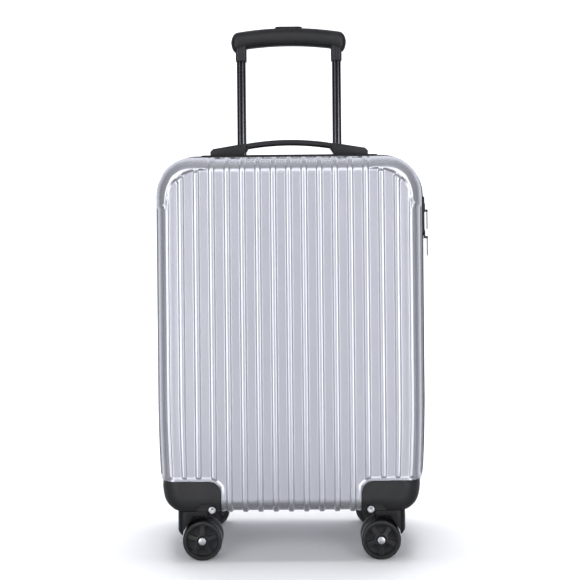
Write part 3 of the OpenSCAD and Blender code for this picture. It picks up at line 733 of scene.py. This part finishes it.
def rib_height(surface, sample, row, phi):
    """1 on a rib's crest and 0 between ribs, at one point of the surface."""
    kind, index = sample[:2]
    wall_y, turn = row
    height = 0.0
    line_x = surface.xs[index] if kind in ("face", "top", "bottom") else None
    if kind == "corner" and phi > math.radians(40):
        line_x = surface.xs[surface.straight - 1 + index]
    if line_x is not None:
        number = round(line_x / RIB_PITCH)
        limit = {"top": TOP_RIBS, "bottom": BOTTOM_RIBS}.get(kind, FACE_RIBS)
        if kind == "top" and phi > math.radians(50):
            limit = FACE_RIBS
        if number <= limit:
            height = rib(line_x - number * RIB_PITCH)
    if kind in ("side", "low", "corner") and wall_y is not None:
        number = round(wall_y / RIB_PITCH)
        if 1 <= number <= SIDE_RIBS:
            height = rib(wall_y - number * RIB_PITCH)
    if kind in ("side", "corner") and turn is not None:
        last_x = HALF_W - (FACE_RIBS + 1) * RIB_PITCH
        last = math.acos((edge_centre(SIDE_LEAN) - last_x) / EDGE_R)
        height = max(height, rib((phi - last) * EDGE_R))
    return height


def shell_height(surface, sample, row, point, phi):
    """How far the moulded skin stands from the rib crests, at one point of the surface."""
    kind = sample[0]
    x, y, z = point
    on_face = kind == "face" or phi > math.radians(89.9)
    height = rib_height(surface, sample, row, phi)
    near_pad = kind in ("top", "corner", "side") and not on_face
    if near_pad or kind == "face" and x > CORNER_X - 20 * MM:
        beyond = math.hypot(max(0.0, x - CREASE_X), max(0.0, z - CREASE_Z)) - CREASE_R
        past = smoothstep(*PAD_START_X, x) * smoothstep(*PAD_START_Z, z)
        pad = smoothstep(-CREASE_HALF, CREASE_HALF, beyond) * past
        groove = math.exp(-((beyond + CREASE_GROOVE) / CREASE_HALF) ** 2) * past
        height = max(height * (1 - 0.6 * groove), pad)
    drop = -RIB_H * (1 - height)
    gap = zone_gap(x, z)
    if abs(y) > GUARD_Y - 6 * MM and gap < 12 * MM:
        gap = max(gap, GUARD_Y - abs(y))
        lip = smoothstep(*LIP, gap)
        drop = drop * (1 - lip) - LIP_DROP * lip
        under = smoothstep(*LIP_EDGE, gap)
        drop = drop * (1 - under) - GUARD_SINK * under
    drop *= 1 - smoothstep(RIM_Y + 4 * MM, RIM_Y, abs(y))
    return drop + crown(x, z) * (1.0 if on_face else smoothstep(60, 90, math.degrees(phi)))


def pocket_cups():
    """The walls and roof of the two front caster pockets, cut to the inside of the case."""
    wall = 2.2 * MM
    inside = Surface().mesh(lambda *_: -GUARD_SINK - 0.3 * MM)
    cups = []
    for s in LEFT_RIGHT:
        outline = circle(s * CASTER_X, -CASTER_Y, POCKET_R + wall, 64)
        cup = prism_z(outline, BOTTOM - 5 * MM, POCKET_TOP + wall)
        cups.append(boolean(cup, "INTERSECT", inside))
    return cups


def pocket_cuts():
    """The hollows of the caster pockets, and the room for the guards' arches."""
    cuts = []
    for s in LEFT_RIGHT:
        pocket = circle(s * CASTER_X, -CASTER_Y, POCKET_R, 64)
        arch = circle(s * ARCH_X, ARCH_Z, ARCH_R + ARCH_WALL + 0.4 * MM)
        cuts.append(prism_z(pocket, BOTTOM - 9 * MM, POCKET_TOP))
        cuts.append(prism_y(arch, -CLEAR, -ARCH_FLOOR + 2.3 * MM))
    return cuts


def bezel_seat():
    """The flats sunk into the back half's top for the bezel and the handle plate."""
    cuts = []
    for node, margin in (("trolley_bezel", 0.3 * MM), ("handle_plate", 1.0 * MM)):
        low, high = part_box(node)
        half, middle = (high - low) / 2, (high + low) / 2
        outline = rounded_rect(half[0] + margin, half[1] + margin, 14 * MM, middle[0], middle[1])
        floor = TOP - RIB_H - (BEZEL_SEAT if node == "trolley_bezel" else 0.0)
        cuts.append((outline, floor))
    return cuts


def make_shells():
    surface = Surface(fine=True)
    whole = surface.mesh(shell_height, WALL_DEEP)
    whole = carved(boolean(whole, "UNION", *pocket_cups()), *pocket_cuts())
    front = carved(whole.copy(), around("lock_body", 6, 0.25, 0.25))
    back = mirrored(whole, 1, 1)
    for outline, floor in bezel_seat():
        back = carved(back, prism_z(outline, floor, TOP + 20 * MM))
    for name, mesh in (("front", front), ("back", back)):
        shell = name + "_shell"
        piece(shell + "_skin", mesh, SHELL, name + "_half", (shell,), 40.0)


# ---- corner guards


def guard_outline():
    """The guard seen from the front, as (x, z) points."""
    far = HALF_W + 20 * MM
    points = [(far, GUARD_BOTTOM), (GUARD_X, GUARD_BOTTOM)]
    for k in range(13):
        a = math.radians(180 - 7.5 * k)
        points.append((GUARD_X + GUARD_R + GUARD_R * math.cos(a),
                       GUARD_TOP - GUARD_R + GUARD_R * math.sin(a)))
    return points + [(far, GUARD_TOP)]


def guard_swell(z):
    """The guard lies under the shell's lip at its top and swells out towards its foot."""
    bend, foot = 95 * MM, 74 * MM
    if z > bend:
        return (-1.5 - 1.2 * smoothstep(bend, GUARD_TOP, z)) * MM
    return (-1.5 + 2.6 * smoothstep(bend, foot, z)) * MM


def make_guards():
    surface = Surface()
    outer = surface.mesh(lambda s, sample, row, point, phi: guard_swell(point[2]))
    inner = surface.mesh(lambda s, sample, row, point, phi: guard_swell(point[2]) - GUARD_WALL)
    above = block((0, -CLEAR, GUARD_BOTTOM), (FAR, 0.1, FAR))
    hollow = boolean(inner, "INTERSECT", block((0, -CLEAR, POCKET_TOP), (FAR, 0.1, FAR)))
    solid = boolean(outer, "INTERSECT", prism_y(guard_outline(), -CLEAR, -GUARD_Y))
    bowl = prism_y(circle(ARCH_X, ARCH_Z, ARCH_R + ARCH_WALL, 56), -HALF_D, -ARCH_FLOOR + 2 * MM)
    arch = prism_y(circle(ARCH_X, ARCH_Z, ARCH_R, 56), -CLEAR, -ARCH_FLOOR)
    hole = prism_z(circle(CASTER_X, -CASTER_Y, PIN_HOLE_R, 40), BOTTOM, CLEAR)
    bowl = boolean(bowl, "INTERSECT", above, outer)
    guard = carved(boolean(carved(solid, hollow), "UNION", bowl), arch, hole)
    guard = bevelled(guard, 0.7 * MM, 3, 40.0)
    for corner in ("FR", "FL", "RR", "RL"):
        side_x, side_y = 1 if corner[1] == "R" else -1, -1 if corner[0] == "F" else 1
        node = "guard_" + corner
        mesh = mirrored(guard, side_x, side_y)
        piece(node + "_part", mesh, GUARD, body_with(node), (node,))


# ---- casters

WINDOWS = 5
WINDOW_END = 20 * MM
# A thin web in the wheel's middle that closes the windows; it is coloured the darkest plastic as
# painted shade.
SHADE_WEB = 1.4 * MM
TYRE_R = 22.7 * MM


def wheel_profile():
    """The wheel's section, from the bore over the tread and back, as (radius, across)."""
    half = [(3.1, 7.0), (6.0, 7.0), (6.7, 6.4), (7.0, 5.0), (19.6, 4.4), (20.3, 5.0),
            (20.6, 6.3), (21.2, 6.8), (22.4, 6.9), (22.7, 6.4), (23.1, 6.4), (23.4, 6.9),
            (24.4, 6.7), (25.3, 6.0), (25.8, 5.0), (26.0, 3.6)]
    return [(r * MM, w * MM) for r, w in half] + [(r * MM, -w * MM) for r, w in reversed(half)]


def window_outline(turn):
    """One recess between two spokes, with rounded corners at the rim."""
    outer, inner, spoke = 19.9 * MM, 8.4 * MM, 2.6 * MM
    half = math.radians(180 / WINDOWS)
    wide = half - math.asin(1.25 * spoke / outer)
    narrow = half - math.asin(spoke / inner)
    shape = [(outer * (1 - 0.05 * abs(k / 6) ** 6), wide * k / 6) for k in range(-6, 7)]
    shape += [(inner * (1 + 0.06 * abs(k / 2) ** 2), narrow * k / 2) for k in (2, 1, 0, -1, -2)]
    return [(r * math.cos(turn + a), r * math.sin(turn + a)) for r, a in shape]


def wheel_mesh(turn):
    steps = 96
    loops = []
    for k in range(steps):
        a = 2 * math.pi * k / steps
        loops.append([(r * math.cos(a), w, r * math.sin(a)) for r, w in wheel_profile()])
    wheel = loft(loops, capped=False)
    for k in range(WINDOWS):
        middle = turn + 2 * math.pi * (k + 0.5) / WINDOWS
        for low, high in ((-WINDOW_END, -SHADE_WEB / 2), (SHADE_WEB / 2, WINDOW_END)):
            wheel = carved(wheel, prism_y(window_outline(middle), low, high))
    return bevelled(wheel, 0.55 * MM, 2, 50.0)


def make_wheels():
    shapes = {}
    for corner in CORNERS:
        for end in ("front", "rear"):
            node = f"wheel_{corner}_{end}"
            low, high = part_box(node)
            middle = (low + high) / 2
            turn = (90 if corner[1] == "L" else 126) + (0 if end == "front" else 20)
            if turn not in shapes:
                shapes[turn] = wheel_mesh(math.radians(turn))
            mesh = shapes[turn].copy()
            mesh.transform(Matrix.Translation(middle))
            made = piece(node + "_part", mesh, SPOKE, body_with(node), (node,))
            made.data.materials.append(TYRE)
            made.data.materials.append(DARK)
            # Faces out on the tread get rubber; the web's faces in the windows get the darkest
            # plastic, as painted shade.
            for face in made.data.polygons:
                across = face.center - middle
                if math.hypot(across[0], across[2]) > TYRE_R:
                    face.material_index = 1
                elif abs(across[1]) < SHADE_WEB:
                    face.material_index = 2


def make_casters():
    for corner in CORNERS:
        refine("fork_" + corner, DARK, 0.9, 3)
        refine("swivel_pin_" + corner, STEEL, 0.4)
        refine("axle_" + corner, STEEL, 0.35)
    make_wheels()
    for half in ("front", "back"):
        refine(half + "_screws", STEEL, 0.25)


# ---- trolley

GROOVE = 0.6 * MM
GROOVE_HALF = 0.95 * MM
TUBE_HALF_X = 6.5 * MM
TUBE_HALF_Y = 10 * MM
TUBE_WALL = 1.6 * MM


def grooved_tube(half_x, half_y, r, grooves):
    """Outline of a tube with shallow grooves down its two wide faces."""
    points = []
    corners = rounded_rect(half_x, half_y, r)
    per_corner = len(corners) // 4
    for k in range(4):
        points += corners[k * per_corner:(k + 1) * per_corner]
        if k in (0, 2):
            s = 1 if k == 0 else -1
            w = GROOVE_HALF
            profile = ((w + 0.25 * MM, 0), (w, GROOVE), (-w, GROOVE), (-w - 0.25 * MM, 0))
            for g in grooves:
                points += [(s * (g + x), s * (half_y - depth)) for x, depth in profile]
    return points


def tube(centre, outline, inner, z0, z1):
    """An open-ended tube: outside up, round the top edge, inside down, and closed at the foot."""
    edge = 0.25 * MM

    def drawn_in(points, z, by):
        return [(*(c + p - math.copysign(min(by, abs(p)), p) for c, p in zip(centre, point)), z)
                for point in points]

    return loft([drawn_in(outline, z0, 0.0), drawn_in(outline, z1 - edge, 0.0),
                 drawn_in(outline, z1, edge), drawn_in(inner, z1, 0.0), drawn_in(inner, z0, 0.0)],
                capped=False)


def joined(meshes):
    work = bmesh.new()
    for mesh in meshes:
        work.from_mesh(mesh)
    made = bpy.data.meshes.new("joined")
    work.to_mesh(made)
    work.free()
    return made


def make_inner_tubes():
    low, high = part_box("trolley_inner_tubes")
    outline = grooved_tube(TUBE_HALF_X, TUBE_HALF_Y, 3.4 * MM, (2.3 * MM, -2.3 * MM))
    inner = [(x * (1 - TUBE_WALL / TUBE_HALF_X), y * (1 - TUBE_WALL / TUBE_HALF_Y))
             for x, y in outline]
    x = high[0] - TUBE_HALF_X
    y = (low[1] + high[1]) / 2
    tubes = [tube((s * x, y), outline, inner, low[2], high[2]) for s in LEFT_RIGHT]
    made = piece("inner_tubes", joined(tubes), BLACK_TUBE, "trolley_grip",
                 ("trolley_inner_tubes",), 50.0)
    made.data.materials.append(GROOVE_HIGHLIGHT_METAL)
    # The grooves' floors get the paler metal: painted highlight lines down the glossy black tubes.
    for face in made.data.polygons:
        depth = TUBE_HALF_Y - abs(face.center[1] - y)
        if 0.9 * GROOVE < depth < 1.1 * GROOVE and abs(face.normal[1]) > 0.9:
            face.material_index = 1


GRIP_ARC = 480 * MM
GRIP_RISE = 1.2 * MM
GRIP_HALF_H = 13.9 * MM
GRIP_HALF_D = 12.9 * MM
GRIP_END = 9 * MM
GRIP_LOBE = 3.5 * MM
GRIP_SQUARE = 0.74


def grip_sections(half_len, y, top):
    """Closed cross-sections along the arched grip, rounded at both ends."""
    loops = []
    for step in range(-24, 25):
        x = math.sin(step / 24 * math.pi / 2) * half_len
        end = max(0.0, (abs(x) - (half_len - GRIP_END)) / GRIP_END)
        shrink = max(math.sqrt(max(0.0, 1 - end * end)), 0.10)
        z = top - GRIP_HALF_H - GRIP_ARC + math.sqrt(GRIP_ARC ** 2 - x * x)
        foot = GRIP_LOBE * smoothstep(half_len - 26 * MM, half_len - 8 * MM, abs(x))
        loop = []
        for k in range(40):
            a = 2 * math.pi * k / 40
            c, s = math.cos(a), math.sin(a)
            dy = GRIP_HALF_D * math.copysign(abs(c) ** GRIP_SQUARE, c) * (0.35 + 0.65 * shrink)
            dz = GRIP_HALF_H * math.copysign(abs(s) ** GRIP_SQUARE, s) * shrink
            if s < 0:
                dz = dz * 0.92 - foot * abs(s) * shrink
            loop.append((x, y + dy, z + dz))
        loops.append(loop)
    return loops


def make_grip():
    cover_low, cover_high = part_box("grip_cover")
    body_low, body_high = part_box("grip_body")
    y = (body_low[1] + body_high[1]) / 2
    half_len = (body_high[0] - body_low[0]) / 2
    middle_y = (cover_low[1] + cover_high[1]) / 2
    bar = loft(grip_sections(half_len, middle_y, cover_high[2] + GRIP_RISE))
    split, seam = cover_low[2] + 2 * MM, 0.3 * MM
    near, far, top = y - CLEAR, y + CLEAR, split + CLEAR
    cut = block((cover_low[0] - seam, near, split), (cover_high[0] + seam, far, top))
    lid = block((cover_low[0], near, split + seam), (cover_high[0], far, top))
    low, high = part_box("release_button")
    half, middle = (high - low) / 2, (high + low) / 2
    gap = 0.4 * MM
    slot = rounded_rect(half[0] + gap, half[1] + gap, 5 * MM, middle[0], y)
    hole = prism_z(slot, low[2] - 6 * MM, top)
    body = carved(bar.copy(), cut, hole)
    cover = carved(boolean(bar, "INTERSECT", lid), hole)
    for name, mesh, node in (("grip_bar", body, "grip_body"), ("grip_lid", cover, "grip_cover")):
        made = bevelled(mesh, 0.35 * MM, 2, 45.0)
        piece(name, made, GRIP, "trolley_grip", (node,))
    plate = rounded_rect(half[0], half[1], 4.6 * MM)
    loops = []
    for drop, inset in ((0.0, 1.2 * MM), (0.35 * MM, 0.4 * MM), (1.1 * MM, 0.0), (6 * MM, 0.0)):
        top = high[2] + GRIP_RISE - drop
        loops.append([(middle[0] + px * (1 - inset / half[0]), y + py * (1 - inset / half[1]),
                       top - px ** 2 / (2 * GRIP_ARC)) for px, py in plate])
    piece("push_button", loft(loops), DARK, "release_button", ("release_button",))
    make_collars(body_low[2], y)


def make_collars(foot, y):
    """The collars that the tubes enter, each with two moulded ribs down its face."""
    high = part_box("trolley_inner_tubes")[1]
    outline = grooved_tube(7.9 * MM, 11 * MM, 3.6 * MM, (2.4 * MM, -2.4 * MM))
    for name, s in (("left", -1), ("right", 1)):
        x = s * (high[0] - TUBE_HALF_X)
        loops = []
        for z, grow in ((foot, 0.93), (foot + 0.6 * MM, 1.0), (high[2] + 3 * MM, 1.0)):
            loops.append([(x + px * grow, y + py * grow, z) for px, py in outline])
        piece("collar_" + name, loft(loops), COLLAR, "trolley_grip")


def make_trolley():
    make_inner_tubes()
    make_grip()
    refine("trolley_middle_tubes", BLACK_TUBE, 0.3)
    refine("trolley_outer_tubes", ALUMINIUM, 0.3)
    refine("trolley_base", DARK, 1.0)
    refine("trolley_bezel", GRIP, 0.8, 3)
    refine("lock_plugs", DARK, 0.3)
    refine("push_rods", STEEL, 0.2)
    for side in ("left", "right"):
        refine("lock_pin_" + side, STEEL, 0.3)


def make_carry_handle():
    refine("carry_handle", GRIP, 1.0, 3, 40.0)
    refine("handle_ends", GRIP, 1.6, 4, 30.0)
    refine("handle_plate", DARK, 0.8, 3)
    refine("handle_pins", DARK, 0.2)


# ---- seam, lock and lining


def ring_walk(surface, step):
    """Points round the whole seam outline at equal steps: x, z and the outward direction."""
    right = [s[2:] for s in surface.ring]
    whole = right + [(-x, z, -nx, nz) for x, z, nx, nz in reversed(right[1:-1])]
    walk, left = [], 0.0
    for a, b in zip(whole, whole[1:] + whole[:1]):
        length = math.dist(a[:2], b[:2])
        at = left
        while at < length:
            t = at / length
            walk.append(tuple(a[k] + (b[k] - a[k]) * t for k in range(4)))
            at += step
        left = at - length
    return walk


# Left of this the zip is not cut: its tape lies level with the shell, and it shows no teeth.
UNCUT_X = -HALF_W + 12 * MM


def tape_mesh(walk):
    """The zip's cloth: a band round the seam with a hem inside the case."""
    loops = []
    for x, z, nx, nz in walk:
        proud = 0.1 if x < UNCUT_X else 1.0
        profile = ((-5.2, 0.35), (proud - 0.3, 0.35), (proud, 0.7), (proud, 3.4),
                   (proud - 0.4, 3.9), (-4.7, 3.95), (-4.9, 9.5), (-5.9, 9.5), (-5.9, 3.0),
                   (-5.6, 0.5))
        loops.append([(x + nx * out * MM, -y * MM, z + nz * out * MM) for out, y in profile])
    return loft(loops, capped=False)


def teeth_mesh(walk):
    """The coil's teeth: one small rounded block after another."""
    points, faces = [], []
    shape = ((0.0, 0.35), (1.7, 0.35), (1.95, 0.8), (1.95, 1.6), (1.6, 2.1), (0.0, 2.1))
    n = len(shape)
    for x, z, nx, nz in walk:
        if x < UNCUT_X:
            continue
        start = len(points)
        for side in (-0.55 * MM, 0.55 * MM):
            for out, y in shape:
                out *= MM
                points.append((x + nx * out - nz * side, -y * MM, z + nz * out + nx * side))
        for i in range(n):
            a, b = start + i, start + (i + 1) % n
            faces.append((a, b, b + n, a + n))
        faces.append(tuple(start + i for i in reversed(range(n))))
        faces.append(tuple(start + n + i for i in range(n)))
    mesh = bpy.data.meshes.new("teeth")
    mesh.from_pydata(points, [], faces)
    return mesh


def make_seam():
    surface = Surface()
    tape = tape_mesh(ring_walk(surface, 4 * MM))
    teeth = teeth_mesh(ring_walk(surface, 2.2 * MM))
    for name, side_y in (("front", -1), ("back", 1)):
        cloth = mirrored(tape, 1, side_y)
        if name == "front":
            cloth = carved(cloth, around("lock_body", 0.3, 0.3, 0.3))
        body = name + "_half"
        piece(name + "_zip_tape", cloth, TAPE, body, (name + "_zip_tape",))
        piece(name + "_zip_teeth", mirrored(teeth, 1, side_y), DARK, body)


def make_lock():
    refine("lock_body", DARK, 0.7, 3)
    for dial in ("low", "mid", "high"):
        refine("lock_dial_" + dial, COLLAR, 0.2)
    refine("lock_button", STEEL, 0.5)
    for end in ("low", "high"):
        refine("zip_slider_" + end, DARK_METAL, 0.35)
        refine("zip_pull_" + end, DARK_METAL, 0.3)


LINING_OUT = 0.5 * MM
LINING_T = 1.3 * MM
PANEL_Y = 67 * MM


def well(side, grown):
    """The room of a wheel well and its guard's floor and arch in the case, grown on all sides."""
    wall, gap = 3.6 * MM + grown, 0.4 * MM + grown
    cup = prism_z(circle(side * CASTER_X, -CASTER_Y, POCKET_R + wall, 64), -0.01, POCKET_TOP + wall)
    low_x, high_x = sorted((side * (GUARD_X - gap), side * CLEAR))
    floor = block((low_x, -CLEAR, 0.0), (high_x, -GUARD_Y + gap, POCKET_TOP + gap))
    bowl = circle(side * ARCH_X, ARCH_Z, ARCH_R + ARCH_WALL + gap, 56)
    return boolean(cup, "UNION", floor, prism_y(bowl, -CLEAR, -ARCH_FLOOR + 2 * MM + gap))


def lining_mesh(panel_y):
    """Cloth inside the shell, from the zip's hem to the large face, or to a flat panel."""
    surface = Surface()
    depth = WALL_DEEP + LINING_OUT
    hem = RIM_Y + 7 * MM
    outside = surface.mesh(lambda *_: -depth)
    inside = surface.mesh(lambda *_: -depth - LINING_T)
    outside = boolean(outside, "INTERSECT", block((-FAR, -panel_y, 0), (FAR, -hem, 1)))
    inside = boolean(inside, "INTERSECT", block((-FAR, -panel_y + LINING_T, 0), (FAR, 0, 1)))
    lining = carved(outside.copy(), inside)
    for side in LEFT_RIGHT:
        lining = boolean(lining, "UNION", boolean(well(side, LINING_T), "INTERSECT", outside))
        lining = carved(lining, well(side, 0.0))
    return lining


def make_inside():
    front = carved(lining_mesh(HALF_D), around("lock_body", 3, 2.5, 2.5))
    back = mirrored(lining_mesh(PANEL_Y), 1, 1)
    for name, mesh in (("front", front), ("back", back)):
        node = name + "_lining"
        piece(node + "_cloth", mesh, LINING, name + "_half", (node,), 50.0)
    refine("packing_straps", WEBBING, 0.25)
    refine("strap_buckle", DARK, 0.9, 3)


# ---- floor and light

# The floor's glow near the case and far from it, and the distances between which it rises.
FLOOR_GLOW = (0.06, 1.0)
GLOW_SPAN = (0.55, 1.7)
NEAR_FLOOR = 0.9
FLAT_FLOOR = 6.0
FLOOR_BEND = 2.0
BACKDROP_TOP = 9.0


def pale_floor():
    """Matte, and glowing more with distance, so that it stays pale up to the horizon."""
    s = Shader("pale_floor", (0.93, 0.935, 0.95), 0.9)
    s.tint(s.noise(3.0, 2.0), 0.995, 1.005)
    away = s.node("ShaderNodeVectorMath", operation="LENGTH")
    s.link(s.space, away.inputs[0])
    glow = s.ramp(away.outputs["Value"], *FLOOR_GLOW, GLOW_SPAN)
    s.link(glow, s.shader.inputs["Emission Strength"])
    s.shader.inputs["Emission Color"].default_value = (1.0, 1.0, 1.0, 1.0)
    return s.material


def add_stage():
    """A pale floor, and a round backdrop that rises from it in a smooth curve on all sides."""
    bend = [(FLAT_FLOOR + FLOOR_BEND * math.sin(a), FLOOR_BEND * (1 - math.cos(a)))
            for a in (math.radians(7.5 * k) for k in range(13))]
    far = [(NEAR_FLOOR, 0.0), *bend, (FLAT_FLOOR + FLOOR_BEND, BACKDROP_TOP)]
    material = pale_floor()
    for name, profile in (("floor", [(0.0, 0.0), (NEAR_FLOOR, 0.0)]), ("backdrop", far)):
        rings = [circle(0, 0, radius, 96) for radius, _ in profile]
        n = len(rings[0])
        points = [(x, y, z) for ring, (_, z) in zip(rings, profile) for x, y in ring]
        faces = [(k * n + i, (k + 1) * n + i, (k + 1) * n + (i + 1) % n, k * n + (i + 1) % n)
                 for k in range(len(profile) - 1) for i in range(n)]
        mesh = bpy.data.meshes.new(name)
        mesh.from_pydata(points, [], faces)
        smooth(mesh)
        mesh.materials.append(material)
        stage = put(name, mesh)
        stage.visible_glossy = False
        stage.visible_diffuse = name == "floor"


def softbox(name, at, aim, width, height, watts, glossy=True):
    data = bpy.data.lights.new(name, "AREA")
    data.shape = "RECTANGLE"
    data.size = width
    data.size_y = height
    data.energy = watts
    light = put(name, data)
    light.location = at
    light.rotation_mode = "QUATERNION"
    light.rotation_quaternion = (Vector(aim) - Vector(at)).to_track_quat("-Z", "Y")
    light.visible_glossy = glossy


# Grey levels of the surroundings, as (place, grey): from in front of the case to behind it, and
# from straight below to straight above. The two are multiplied.
FRONT_TO_BACK = ((0.0, 0.68), (0.10, 0.62), (0.22, 0.22), (0.6, 0.2), (0.8, 0.9))
LOW_TO_HIGH = ((0.1, 0.15), (0.38, 0.97))


def studio_world():
    """Soft surroundings: grey in front of the case, dark at its sides and below, pale behind it."""
    world = bpy.data.worlds.new("studio")
    sky = Nodes(world)
    direction = sky.node("ShaderNodeTexCoord").outputs["Generated"]
    split = sky.node("ShaderNodeSeparateXYZ", {0: direction})

    def shade(axis, stops):
        place = sky.ramp(split.outputs[axis], 0.0, 1.0, (-1.0, 1.0))
        made = sky.node("ShaderNodeValToRGB", {"Fac": place})
        elements = made.color_ramp.elements
        for _ in stops[2:]:
            elements.new(0.5)
        for element, (place, grey) in zip(elements, stops):
            element.position = place
            element.color = (grey, grey * 1.01, grey * 1.06, 1.0)
        return made.outputs["Color"]

    inputs = {"Factor": 1.0, "A": shade("Y", FRONT_TO_BACK), "B": shade("Z", LOW_TO_HIGH)}
    both = sky.node("ShaderNodeMix", inputs, data_type="RGBA", blend_type="MULTIPLY")
    sky.link(both.outputs["Result"], sky.tree.nodes["Background"].inputs["Color"])
    bpy.context.scene.world = world


def add_lights():
    bpy.context.scene.view_settings.view_transform = "Standard"
    studio_world()
    middle = (0, 0, 0.35)
    softbox("left_box", (-1.15, -1.9, 0.55), middle, 1.1, 2.0, 15)
    softbox("right_box", (1.15, -1.9, 0.55), middle, 1.1, 2.0, 15)
    softbox("front_top_box", (0, -1.75, 1.35), (0, 0, 0.5), 1.9, 0.85, 5.5)
    softbox("overhead", (0, 0.1, 2.4), (0, 0, 0), 1.3, 1.1, 42, glossy=False)
    softbox("back_box", (0, 1.0, 2.6), (0, 1.6, 0.8), 3.0, 1.0, 22, glossy=False)


make_shells()
make_guards()
make_casters()
make_trolley()
make_carry_handle()
make_seam()
make_lock()
make_inside()
add_stage()
add_lights()

springs = frame["nodes"]["button_springs"].data
springs.materials.clear()
springs.materials.append(STEEL)
